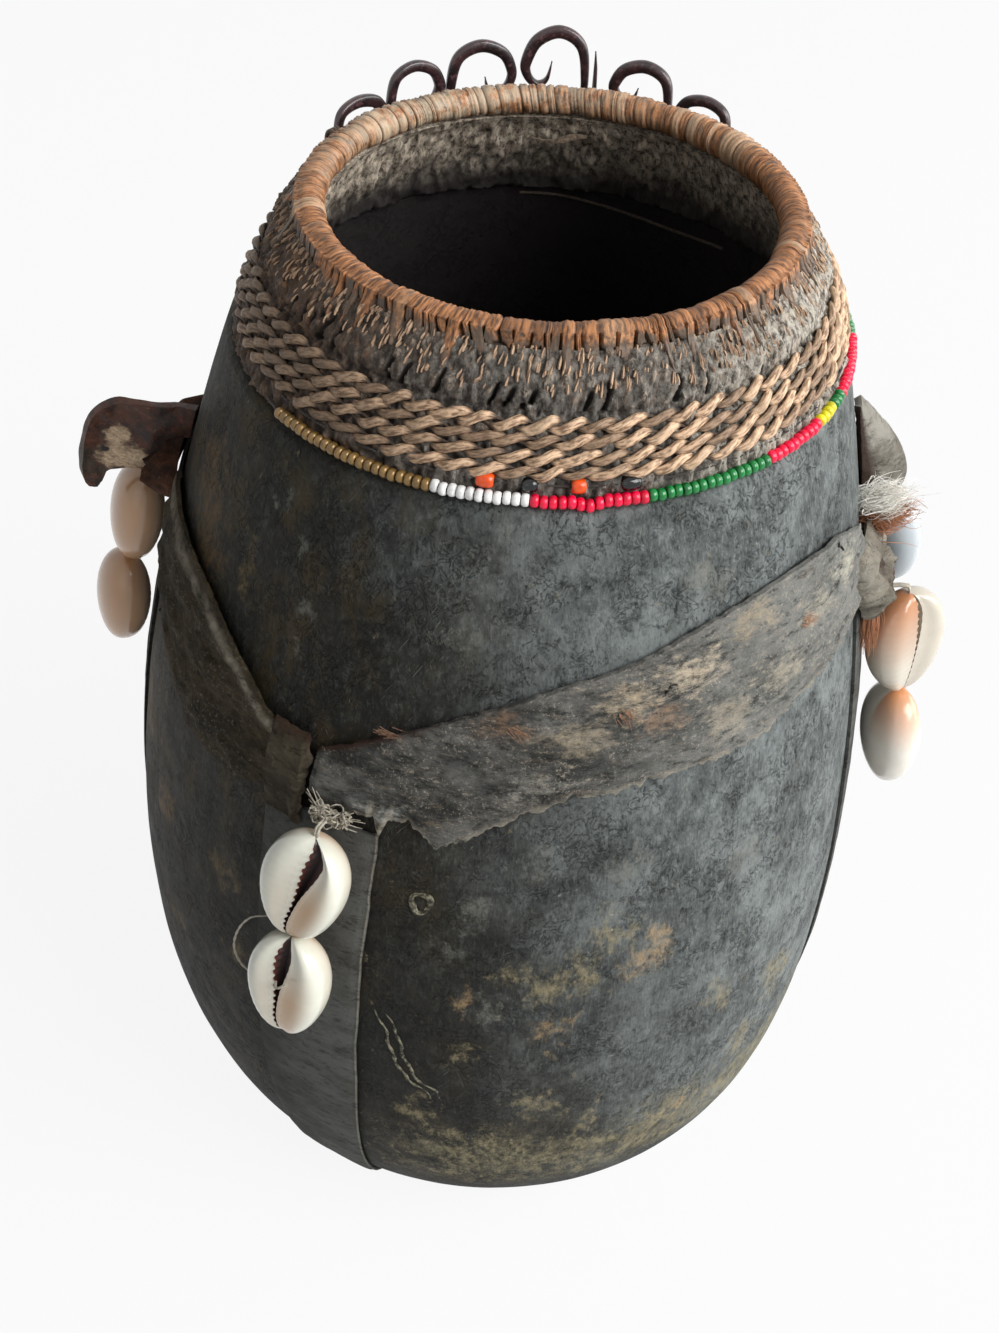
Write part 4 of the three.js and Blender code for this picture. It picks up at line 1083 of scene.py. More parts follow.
class VESSEL_OT_body(bpy.types.Operator):
    """Carved body: a deep cup with a rounded foot, uneven as hand work leaves it"""

    bl_idname = "vessel.body"
    bl_label = "Carved body"

    def execute(self, context):
        outline = [(FOOT_RADIUS * i / 9, BODY_BOTTOM) for i in range(9)]
        outline += [corner(90 - 90 * i / 28) for i in range(28)]
        top = MOUTH_HEIGHT - 1.5
        for i in range(91):
            z = BELLY_HEIGHT + (top - BELLY_HEIGHT) * i / 90
            outline.append((body_radius(z), z))
        outline += [(NECK_RADIUS - 0.4, MOUTH_HEIGHT - 0.4), (NECK_RADIUS - 1.5, MOUTH_HEIGHT),
                    (NECK_RADIUS - WALL + 0.8, MOUTH_HEIGHT), (NECK_RADIUS - WALL, MOUTH_HEIGHT - 0.8)]
        for i in range(1, 21):
            z = MOUTH_HEIGHT - (MOUTH_HEIGHT - BELLY_HEIGHT) * i / 20
            outline.append((body_radius(z) - WALL, z))
        bed = BODY_BOTTOM + FLOOR
        for i in range(1, 9):
            r, z = corner(90 * i / 8)
            outline.append((r - WALL, bed + (z - BODY_BOTTOM) * (BELLY_HEIGHT - bed)
                            / (BELLY_HEIGHT - BODY_BOTTOM)))
        outline.append((0, bed))
        body = spun("carved_body", outline, 400)
        inner = []
        for spot in body.data.vertices:
            z = spot.co.z / MM
            radius = hypot(spot.co.x, spot.co.y) / MM
            inner.append(1 if z > BODY_BOTTOM + 4 and radius < body_radius(z) - 1.7 else 0)
            if z > BODY_BOTTOM + 3 and radius > body_radius(z) - 1:
                ease = min(1, (MOUTH_HEIGHT - z) / 8, (z - BODY_BOTTOM - 3) / 8)
                push = rough(spot.co, 52, 1) * 0.5 + rough(spot.co, 13, 2) * 0.16
                scale = 1 + ease * push * 0.5 / radius
                spot.co.x *= scale
                spot.co.y *= scale
            spot.co.x += lean(z) * MM
        painted(body, inner=inner)
        smoothed(body, 50)
        settle(body, wood_finish(), "vessel", "body_wood", "vessel_body")
        self.scars()
        return {"FINISHED"}

    def scars(self):
        """A ring shaped scar and the raised edges of a long dent, low on the front."""
        lines = []
        for k in range(2):
            ring = []
            for i in range(19):
                a = tau * i / 18 + k
                r = 2.3 - 0.5 * k + 0.3 * sin(3 * a)
                ring.append((on_wall(SCAR[0] + r * cos(a) / 85 / DEG, SCAR[1] + 1.15 * r * sin(a),
                                     -0.1), 0.34 + 0.2 * sin(2 * a + k)))
            lines.append(ring)
        for side in (-1, 1):
            dent = smooth_line(DENT, 40)
            lines.append([
                (on_wall(az + side * (0.85 + 0.2 * sin(0.9 * z)), z, -0.12),
                 (0.5 + 0.16 * sin(2.3 * z + side)) * sin(pi * min(1, i / 40 + 0.06)))
                for i, (az, z) in enumerate(dent)])
        f = Finish("scar_wood", Roughness=0.75, Specular_IOR_Level=0.1)
        f.set("Base Color", f.grain(1.6, 6, 0.74).span(0.4, 0.62).mix(
            linear(52, 51, 45), linear(138, 134, 114)))
        f.bumps((f.grain(0.9, 4), 0.2))
        settle(tubes("wood_scars", lines, 1), f.material, "vessel", "body_wood")


class VESSEL_OT_pad(bpy.types.Operator):
    """Disc of hide under the base, sewn to the ends of the straps"""

    bl_idname = "vessel.pad"
    bl_label = "Base pad"

    def execute(self, context):
        outline = [(0, 0), (18, 0), (PAD_RADIUS - 0.8, 0), (PAD_RADIUS, 0.7), (PAD_RADIUS, 2),
                   (PAD_RADIUS - 0.8, PAD_THICK), (18, PAD_THICK), (0, PAD_THICK)]
        pad = spun("hide_pad", outline, 96)
        for spot in pad.data.vertices:
            radius = hypot(spot.co.x, spot.co.y) / MM
            if radius > 30:
                a = atan2(spot.co.x, spot.co.y)
                shrink = 1 - 0.02 * (1 + noise.noise(Vector((cos(a), sin(a), 0)) * 3))
                spot.co.x *= shrink
                spot.co.y *= shrink
            spot.co.x += lean(spot.co.z / MM) * MM
        smoothed(pad, 40)
        finish = hide_finish("pad_hide", colour("hide_dark"), linear(38, 33, 30), 0.3, 31)
        settle(pad, finish, "vessel", "strap_hide", "base_pad")
        return {"FINISHED"}


def collar_outline():
    """Closed outline of the collar: lengths along the outside and insets, then the inside."""
    outside = [i * 0.45 for i in range(int(COLLAR_LENGTH / 0.45))]
    inside = [(RIM_RADIUS + 0.5, RIM_HEIGHT - 3.1), (RIM_RADIUS - 1.6, RIM_HEIGHT - 3)]
    low = along_collar(CLEAR, 3.8 + COLLAR_WALL)[0]
    high = along_collar(COLLAR_LENGTH, 0)[0] - 4.4
    for i in range(1, 24):
        t = i / 23
        inside.append((high + (low - high) * t**0.75, RIM_HEIGHT - 3.4 - (COLLAR_HEIGHT - 3.8) * t))
    return outside, inside


class VESSEL_OT_collar(bpy.types.Operator):
    """Collar: resin over rows of teardrop stitches, with slots, straws and rough fibre inside"""

    bl_idname = "vessel.collar"
    bl_label = "Basketry collar"

    def execute(self, context):
        outside, inside = collar_outline()
        count = len(outside) + len(inside)
        around = round(tau * STITCH_RING / size("stitch"))
        raised, inner = [], []

        def place(u, v):
            az = CIRCLE * u
            k = round(v * count) % count
            if k >= len(outside):
                radius, z = inside[k - len(outside)]
                spot = at(az, radius, z)
                deep = 0 if k < len(outside) + 2 else 1
                tall = Vector((spot.x, spot.y, spot.z * 0.45))
                bump = rough(tall, 2, 8, 4) * 0.8 + rough(spot, 6, 9) * 0.7
                raised.append(0.6 + 0.8 * bump)
                inner.append(1)
                return at(az, radius - deep * max(bump, -0.4), z)
            length = outside[k]
            flat = at(az, *along_collar(length, 0))
            crumb = rough(Vector((flat.x, flat.y, flat.z * 0.42)), 1.3, 5, 5)
            lumps = rough(flat, 5, 6, 3)
            inner.append(0)
            if length < LAST_TURN - 0.8:
                raised.append(0.16 + 0.6 * max(0, crumb + 0.25))
                sunk = 0.9 if length < CORD_START - 1.2 else 1.5
                return at(az, *along_collar(max(length, CLEAR), sunk - 0.9 * crumb))
            turned = (az + 180) % CIRCLE - 180
            smooth_side = held((turned - 34) / 30) if turned > 0 else 0
            row = (length - LAST_TURN) / STITCH_ROW
            level = floor(row)
            wander = 0.8 * rough(Vector((0, 0, az * 0.7 * MM)), 9, level + 20, 2)
            column = az / CIRCLE * around + 0.5 * (level % 2) + wander - 0.12 * length
            cell = floor(column)
            luck = noise.cell(Vector((cell % around + 0.5, level + 0.5, 0.5)))
            side = (column - cell - 0.5) * 2
            down = (row - level - 0.5) * 2
            wide = 0.7 - 0.2 * down
            hump = max(0, 1 - (side / wide) ** 2) * max(0, 1 - down**2) ** 0.5
            hump *= (0.35 + 0.65 * luck) * (1 - 0.7 * smooth_side)
            slot_at = az / CIRCLE * around * 0.92 + wander * 1.1 - 0.1 * length
            slot = floor(slot_at)
            chance = noise.cell(Vector((slot % round(around * 0.92) + 0.5, 40.5, 0.5)))
            across = abs(slot_at - slot - 0.5) * 2
            tall = (length - LAST_TURN + 0.5) / (2.4 + 3.2 * chance)
            groove = max(0, 1 - (across / 0.34) ** 2) * max(0, 1 - tall**4) if chance > 0.2 else 0
            groove *= 1 - smooth_side
            rise = 0.95 * hump + 0.5 * crumb * (1 - 0.5 * smooth_side) + 0.4 * lumps
            rise += -1.9 * groove - 0.3
            rise -= 0.9 * max(0, 1 - (length - LAST_TURN + 0.8 + 0.8 * crumb) / 2.2)
            raised.append(0.5 + 0.5 * (0.8 * hump + 0.7 * crumb) - 1.2 * groove)
            return at(az, *along_collar(length, -rise))

        collar = grid("basketry_collar", 960, count, place)
        painted(collar, stitch=raised, inner=inner)
        weld(collar)
        smoothed(collar, 70)
        settle(collar, resin_finish(), "vessel", "collar_basketry", "collar_wall")
        self.straws()
        return {"FINISHED"}

    def straws(self):
        """Bare bits of straw that lie in the resin, and a loose strip inside the mouth."""
        chance = random.Random(51)
        lines, shades = [], []
        for _ in range(STRAWS):
            az = chance.uniform(-180, 180)
            start = LAST_TURN + 1 + chance.random() ** 0.8 * (COLLAR_LENGTH - LAST_TURN - 1.5)
            tall = chance.uniform(1, 2.8)
            turn = chance.gauss(-0.25 if az < 30 else 0.25, 0.25)
            thick = chance.uniform(0.2, 0.36) * (0.7 if az > 45 else 1)
            proud = chance.uniform(-0.3, 0.08)
            lines.append([
                (at(az - turn * t, *along_collar(start + tall * t, 0.1 - proud - 0.15 * sin(
                    pi * t))), thick * (0.35 + 0.65 * sin(pi * min(1, t + 0.15))))
                for t in (0, 0.3, 0.65, 1)])
            shades.append(chance.random())
        straws = tubes("collar_straws", lines, 0)
        each = len(straws.data.vertices) // len(lines)
        painted(straws, shade=[shades[min(i // each, len(lines) - 1)] * 0.7 + 0.25
                                  for i in range(len(straws.data.vertices))])
        finish = strand_finish("straw", linear(188, 156, 128), linear(112, 86, 66), (2, 6), 0.6, 9)
        settle(straws, finish, "vessel", "twined_fibre")

        def strip_place(u, v):
            az = 171 + 15 * u
            z = RIM_HEIGHT - 7 - 1.6 * u + 0.4 * sin(7 * u)
            z += (v - 0.5) * (1.5 - 1.3 * abs(2 * u - 0.7))
            return at(az, 46.6 - 2.6 - 1.2 * sin(4 * u), z)

        strip = grid("loose_strip", 40, 4, strip_place)
        modified(strip, "SOLIDIFY", thickness=0.3 * MM, offset=0)
        loose = thread_finish("loose_fibre", linear(150, 130, 108), linear(72, 58, 46))
        settle(smoothed(strip, 50), loose, "vessel", "twined_fibre")
        straw = [(at(az, body_radius(z) - WALL - 0.3, z), 0.32) for az, z in smooth_line(INNER_STRAW, 30)]
        stuck = thread_finish("stuck_straw", linear(92, 78, 66), linear(54, 46, 40))
        settle(tubes("inner_straw", [straw], 1), stuck, "vessel", "twined_fibre")


class VESSEL_OT_rim(bpy.types.Operator):
    """Rim: strips of fibre wrapped over a hoop, their ends running down the collar as tongues"""

    bl_idname = "vessel.rim"
    bl_label = "Rim binding"

    def execute(self, context):
        chance = random.Random(71)
        strips, parts, rows = RIM_STRIPS, 7, 40
        widths = [chance.uniform(0.45, 1.55) for _ in range(strips)]
        edges = [sum(widths[:i]) / sum(widths) * CIRCLE for i in range(strips + 1)]
        luck = [chance.random() for _ in range(strips)]
        gaps = [chance.random() ** 2.5 for _ in range(strips)]
        reach = [0.5 + 6.5 * chance.random() ** 2 for _ in range(strips)]
        swerve = [chance.uniform(-0.6, 2) for _ in range(strips)]
        roll_share, fall_share = 0.45, 0.95
        start, end = 236, 40
        shade, tuck, coat = [], [], []

        def place(u, v):
            column = round(u * strips * parts) % (strips * parts)
            strip, part = divmod(column, parts)
            side = 2 * part / parts - 1
            az = edges[strip] + (edges[strip + 1] - edges[strip]) * part / parts
            group = noise.noise(Vector((cos(az * DEG), sin(az * DEG), 0.3)) * 5)
            uneven = 0.28 * (luck[strip] - 0.5) + 0.35 * group
            t = 0

            def height(domed):
                fibres = 0.08 * cos(side * 7 + strip)
                return (0.12 + 0.3 * gaps[strip]) * (domed - 0.7) + uneven + fibres * domed

            if v <= roll_share:
                domed = sqrt(max(0, 1 - side**2))
                rise = height(domed)
                turn = (start + (end - start) * v / roll_share) * DEG
                radius = ROLL_RADIUS - 0.1 + rise
                spot = at(az + 0.8 * sin(turn), RIM_RADIUS + radius * cos(turn),
                          RIM_HEIGHT + radius * sin(turn))
            elif v <= fall_share:
                t = (v - roll_share) / (fall_share - roll_share)
                long = 2.6 + reach[strip] + 2.4 * max(0, group)
                gone = long * t
                wide = 1 - 0.8 * max(0, (gone - 1.5) / max(long - 1.5, 0.1)) ** 1.5
                domed = sqrt(max(0, 1 - (side / wide) ** 2))
                rise = height(domed) + 0.55 * (1 - t) - 0.1 if domed else -1.1
                turned = az + 0.8 * sin(end * DEG) + swerve[strip] * t
                low = at(turned, *along_collar(COLLAR_LENGTH - max(gone - 2.6, 0), -rise))
                turn = end * DEG
                radius = ROLL_RADIUS - 0.1 + rise
                high = at(turned, RIM_RADIUS + radius * cos(turn), RIM_HEIGHT + radius * sin(turn))
                spot = high.lerp(low, min(1, gone / 2.6))
            else:
                domed = 0
                k = (v - fall_share) / (1 - fall_share)
                turn = start * DEG
                first = at(az + 0.8 * sin(turn), RIM_RADIUS + ROLL_RADIUS * 0.8 * cos(turn),
                           RIM_HEIGHT + ROLL_RADIUS * 0.8 * sin(turn))
                last = at(az, *along_collar(COLLAR_LENGTH - 1.5, 1.6))
                spot = last.lerp(first, k)
                if v > 0.999:
                    return place(u, 0)
            shade.append(held(luck[strip] * 0.7 + 0.5 * group + 0.2))
            dark = 0.15 + 0.75 * gaps[strip] + 0.4 * max(0, t - 0.3)
            # Painted shade in the gaps between strips and at the tongues' ends.
            tuck.append((1 - min(1, domed * 2.4)) * min(1, dark) if t < 0.97 else 0.6)
            coat.append(held((v - 0.36) * 2.4) * (1.3 - luck[(strip * 7) % strips]))
            return spot

        rim = grid("rim_wrapping", strips * parts, rows, place)
        painted(rim, shade=shade, tuck=tuck, coat=coat)
        weld(rim)
        smoothed(rim, 60)
        finish = strand_finish("rim_fibre", colour("rim"), linear(88, 60, 42), (strips * 4, 7), 0.45,
                               resin=0.9)
        settle(rim, finish, "vessel", "rim_fibre", "rim_binding")
        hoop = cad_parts["rim_hoop"]
        hoop.data.materials.clear()
        withy = Finish("rim_withy", Roughness=0.7)
        withy.set("Base Color", withy.grain(3, 5, 0.7, (1, 1, 0.3)).span(0.4, 0.6).mix(
            linear(76, 54, 38), linear(128, 96, 64)))
        withy.bumps((withy.grain(1.2, 4), 0.1))
        hoop.data.materials.append(withy.material)
        return {"FINISHED"}


class VESSEL_OT_cord(bpy.types.Operator):
    """Two-ply cord wound round the collar's foot in one run, each ply a row of plump stitches"""

    bl_idname = "vessel.cord"
    bl_label = "Twined cord"

    def execute(self, context):
        steps, start, pitch = 3000, CORD_START - 0.75, CORD_PITCH + 0.14
        plies = []
        for ply in range(2):
            shade, tuck = [], []

            def place(u, v):
                az = CORD_START_AZ + CIRCLE * CORD_TURNS * u
                turned = (az + 180) % CIRCLE - 180
                gone = tau * CORD_RING * CORD_TURNS * u
                uneven = 0.14 * noise.noise(Vector((gone * 0.09, ply * 5, 0)))
                twists = gone / size("twist") + ply / 2 + uneven
                luck = noise.cell(Vector((floor(twists + 0.5) + 0.5, ply + 0.5, 0.5)))
                wave = cos(tau * twists)
                front = max(0, (wave + 0.5) / 1.5)
                end = min(1, min(u, 1 - u) * steps / 6)
                plump = (0.35 + 0.82 * front**0.55 * (0.84 + 0.24 * luck)) * end
                sunk = held((-turned - 12) / 45) if turned < 0 else 0
                sunk *= 0.3 + 0.9 * u * (0.4 + luck)
                sunk += 0.35 * max(0, luck - 0.8) / 0.2
                out = 0.42 * wave - 0.42 * sunk
                out += plump * 0.66 * cos(tau * v)
                rise = 1.05 * sin(tau * twists) * (0.75 + 0.25 * luck)
                rise += plump * 0.95 * sin(tau * v)
                length = start + pitch * CORD_TURNS * u + rise
                length += 0.5 * noise.noise(Vector((gone * 0.02, 3, floor(u * 4))))
                # Painted shade: darker where plies sink on the left and where a ply turns behind the other.
                shade.append(held(luck * 0.6 + 0.38 - 0.35 * sunk))
                tuck.append(min(1, max(0, 1 - front * 3.2) + 0.3 * sunk))
                return at(az, *along_collar(length, CORD_RADIUS - out))

            strand = grid("ply_" + str(ply), steps, 9, place)
            painted(strand, shade=shade, tuck=tuck)
            plies.append(weld(strand))
        cord = joined("twined_cord", plies)
        smoothed(cord, 60)
        finish = strand_finish("twined_fibre", colour("fibre"), colour("fibre_dark"), (900, 9), 0.55, 2,
                               left_shade=0.5)
        settle(cord, finish, "vessel", "twined_fibre", "collar_cord")
        return {"FINISHED"}


def string_matrix(az, radius, z, stretch=1, tilt=0):
    """Puts a bead whose hole runs along Z onto its string."""
    turn = Matrix((UP, outwards_at(az), sideways_at(az))).transposed().to_4x4()
    return (Matrix.Translation(at(az, radius, z)) @ turn @ Matrix.Rotation(tilt, 4, "X")
            @ Matrix.Diagonal((1, 1, stretch, 1)))


def bead_model(diameter, length, steps):
    """One bead, its hole along Z: an outline spun round the hole."""
    r, h, bore = diameter / 2, length / 2, diameter * 0.19
    outline = [(bore, -h * 0.62), (r * 0.55, -h * 0.97), (r * 0.85, -h * 0.82), (r, -h * 0.34),
               (r, h * 0.34), (r * 0.85, h * 0.82), (r * 0.55, h * 0.97), (bore, h * 0.62)]
    return smoothed(spun("bead_model", outline, steps), 70)


class VESSEL_OT_seed_beads(bpy.types.Operator):
    """String of seed beads under the collar, in runs of one colour"""

    bl_idname = "vessel.seed_beads"
    bl_label = "Seed beads"

    def execute(self, context):
        model = bead_model(BEAD * 1.07, BEAD_PITCH * 0.98, 14)
        glass = {tint: glass_finish(tint) for tint in ("gold", "white", "red", "green", "yellow")}
        chance = random.Random(11)
        step = BEAD_PITCH / BEAD_RING / DEG
        az = STRING_START_AZ + step / 2
        for name, count, tint in RUNS:
            beads = []
            for i in range(count):
                sag = max(0, 0.75 - 0.4 * abs(i - 6)) if name == "beads_red_1" else 0
                matrix = string_matrix(
                    az, BEAD_RING + chance.uniform(-0.1, 0.12) + sag * 0.3,
                    BEAD_HEIGHT + chance.uniform(-0.14, 0.14) - sag,
                    chance.uniform(0.94, 1.02), chance.uniform(-0.1, 0.1))
                beads.append(copied(model, name + "_" + str(i), matrix))
                az += step
            run = joined(name + "_glass", beads)
            settle(run, glass[tint], "vessel", "bead_" + tint, name)
        removed(model)
        return {"FINISHED"}


class VESSEL_OT_large_beads(bpy.types.Operator):
    """Four larger beads, and a fifth that is half hidden, between seed beads and cord"""

    bl_idname = "vessel.large_beads"
    bl_label = "Larger beads"

    def execute(self, context):
        glass = {tint: glass_finish(tint) for tint in ("orange", "black")}
        for name, az, length, tint in LARGE_BEADS:
            model = bead_model(LARGE_BEAD, length, 20)
            bead = copied(model, name + "_glass", string_matrix(az, LARGE_RING - 0.1, LARGE_HEIGHT))
            removed(model)
            settle(bead, glass[tint], "vessel", "bead_" + tint, name)
        model = bead_model(LARGE_BEAD * 0.8, 2, 20)
        extra = copied(model, "bead_black_left", string_matrix(-10.8, LARGE_RING - 0.9, LARGE_HEIGHT))
        removed(model)
        settle(extra, glass["black"], "vessel", "bead_black")
        return {"FINISHED"}


def two_ply(path_of, steps, radius, twist):
    """Two strands twisted about a path, path_of(t) gives a point and two sides of it."""
    lines = []
    for ply in range(2):
        line = []
        for i in range(steps + 1):
            place, out, up = path_of(i / steps)
            turn = tau * (twist * i / steps + ply / 2)
            line.append((place + (out * cos(turn) + up * sin(turn)) * radius * 0.5 * MM,
                         radius * 0.55))
        lines.append(line)
    return lines


class VESSEL_OT_strings(bpy.types.Operator):
    """Threads through the seed beads and the larger beads, tucked in where they are bare"""

    bl_idname = "vessel.strings"
    bl_label = "Bead threads"

    def execute(self, context):
        dark = thread_finish("dark_thread", linear(58, 50, 44), linear(34, 30, 27))
        for name, node, ring, z in (
            ("bead_string", "bead_thread", BEAD_RING, BEAD_HEIGHT),
            ("large_bead_string", "large_bead_thread", LARGE_RING, LARGE_HEIGHT),
        ):
            def path(t):
                az = CIRCLE * t
                bare = held(min(az - 161, 309 - az) / 6)
                return at(az, ring - bare, z + 0.2 * bare), outwards_at(az), UP

            string = tubes(name, two_ply(path, 480, size("thread_thick") / 2, 200), 0)
            settle(string, dark, "vessel", "dark_thread", node)
        return {"FINISHED"}


def wrinkles(spot, seed, deep):
    """Low folds that run along a band of hide."""
    squeezed = Vector((spot.x, spot.y, spot.z * 2.2))
    return deep * (rough(squeezed, 11, seed, 3) + 0.45 * rough(squeezed, 3.4, seed + 1, 3))


class VESSEL_OT_bands(bpy.types.Operator):
    """Bands of hide round the shoulder, with wrinkles, torn edges, two holes painted as near-black spots of
    painted shade, and bits of hair
    """

    bl_idname = "vessel.bands"
    bl_label = "Harness bands"

    def execute(self, context):
        marks = [(on_wall(az, z, 1.8), reach, linear(*tone), share)
                 for az, z, reach, tone, share in BAND_MARKS]
        front = hide_finish("band_hide", colour("hide"), linear(50, 50, 48), 0.9, 41, marks, 0.5)
        left = hide_finish("band_hide_left", linear(66, 57, 42), linear(36, 32, 24), 0.4, 51)
        for seed, (name, stations) in enumerate(BANDS.items()):
            wide = stations[-1][0] - stations[0][0]
            first = stations[0][0]
            pale_edge_and_highlight, burnt = [], []

            def place(u, v):
                az, high, low = along(stations, u)
                flat = on_wall(az, MOUTH_HEIGHT - high - (low - high) * v, 0)
                ends = min(1, min(u, 1 - u) * wide / 4)
                tear = 0.6 * rough(flat, 5, seed + 60, 4) + 0.5 * rough(flat, 1.4, seed + 61, 3)
                near_foot, near_top = max(0, v * 2 - 1) ** 2, max(0, 1 - 2 * v) ** 2
                drop = high + (low - high) * v + ends * tear * (near_foot * 1.8 - near_top * 0.5)
                edge = min(1, min(v, 1 - v) * 7)
                lift = CLEAR + HIDE * (0.6 + 0.4 * edge) + max(-0.6, wrinkles(flat, seed + 70, 0.75)) * edge
                if "front" in name:
                    lift += 0.6 * max(0, 1 - v * 12) * ends
                if name == "band_front_right":
                    lift += 1.3 * max(0, 1 - (az - first) / 5) ** 2 * sin(pi * v) ** 0.5
                    lift -= 0.8 * max(0, 1 - (az - first) / 1.2)
                if name == "band_front_left":
                    lift += 0.7 * max(0, 1 - abs(v - 0.1) * 10) * min(1, u * 3)
                width = (low - high) * (1 - v)
                rim = max(0, 1 - width / 1.6) * (0.6 + 0.5 * tear)
                if name == "band_front_right" and -18.6 < az < -14.6:
                    rim = max(rim, (v - 0.76) * 6)
                if name == "band_front_left":
                    rim = 0.5 * max(0, 1 - abs(v - 0.09) * 14) * (1 + 1.5 * tear)
                pale_edge_and_highlight.append(held(rim))
                # Painted shade in the gap by the fold, along the top of the band's left end.
                gap_shade = max(0, 1 - v * 9) * max(0, 1 - (az + 24) / 20) if "right" in name else 0
                burnt.append(held(gap_shade * 1.5 + tear * 0.4 - 0.1) if gap_shade else 0)
                return on_wall(az, MOUTH_HEIGHT - drop, lift + 0.25)

            band = grid(name + "_hide", max(int(wide * 3.6), 40), 40, lambda u, v: place(u, 1 - v))
            painted(band, edge=pale_edge_and_highlight, burnt=burnt)
            modified(band, "SOLIDIFY", thickness=0.95 * MM, offset=-1)
            smoothed(band, 45)
            settle(band, left if name == "band_front_left" else front, "vessel", "band_hide", name)
        chance = random.Random(61)
        lines = []
        for az, z, turn, long in BAND_HAIRS:
            for _ in range(22):
                side, rise = chance.gauss(0, 0.9), chance.gauss(0, 0.8)
                way = turn + chance.gauss(0, 0.22)
                far = long * chance.uniform(0.4, 1)
                lines.append([
                    (on_wall(az + (side + far * t * cos(way)) / 80 / DEG,
                             z + rise + far * t * sin(way), 2.3 + 0.7 * t), 0.1 * (1.1 - t))
                    for t in (0, 0.4, 0.75, 1)])
        hairs = tubes("band_hairs", lines, 0)
        painted(hairs, tip=[0.25] * len(hairs.data.vertices))
        finish = thread_finish("band_hair", linear(166, 130, 102), linear(112, 78, 58))
        settle(hairs, finish, "vessel", "hair")
        return {"FINISHED"}


class VESSEL_OT_straps(bpy.types.Operator):
    """Upright straps, down the wall, round the foot and in under the base"""

    bl_idname = "vessel.straps"
    bl_label = "Upright straps"

    def execute(self, context):
        worn = hide_finish("strap_hide", linear(100, 101, 98), linear(82, 82, 78), 0.15, 81, left_shade=0.6)
        for seed, (name, (az, drop)) in enumerate(STRAPS.items()):
            top = MOUTH_HEIGHT - drop
            wall, foot, under = 0.6, 0.26, 0.14
            pale_edge_and_highlight = []

            def place(u, v):
                down = 1 - v
                side = 2 * u - 1
                edge = min(1, (1 - abs(side)) * 6)
                ridge = 0.16 * max(0, 1 - abs(side - 0.972) * 44) if down < 0.8 else 0
                pale_edge_and_highlight.append(min(1, ridge * 3.6))
                if down <= wall:
                    z = top + (BELLY_HEIGHT - top) * down / wall
                    half = STRAP_TOP_HALF + 0.3 * rough(Vector((0, seed, z)) * MM, 9, 3)
                    a = az + asin(side * half / body_radius(z)) / DEG
                    flat = on_wall(a, z, 0)
                elif down <= wall + foot:
                    turn = 84 * (down - wall) / foot
                    half = STRAP_TOP_HALF + (STRAP_FOOT_HALF - STRAP_TOP_HALF) * turn / 90
                    a = az + asin(side * half / corner(turn)[0]) / DEG
                    flat = off_corner(a, max(turn, 0.6), 0)
                else:
                    t = (down - wall - foot) / under
                    r = FOOT_RADIUS + 2 + (STRAP_INNER_END - FOOT_RADIUS - 2) * t
                    a = az + asin(side * STRAP_FOOT_HALF / r) / DEG
                    return at(a, r, BODY_BOTTOM - CLEAR - HIDE * (0.7 + 0.3 * edge))
                lift = CLEAR + 0.3 + 0.4 * edge + 0.2 * rough(flat, 12, seed + 90) * edge + ridge
                if down <= wall:
                    return on_wall(a, z, lift)
                low = held((turn - 50) / 30)
                return off_corner(a, max(turn, 0.6), lift + 0.9 * low)

            strap = grid(name + "_hide", 72, 110, place)
            painted(strap, edge=pale_edge_and_highlight)
            modified(strap, "SOLIDIFY", thickness=0.75 * MM, offset=-1)
            smoothed(strap, 45)
            settle(strap, worn, "vessel", "strap_hide", name)
        return {"FINISHED"}


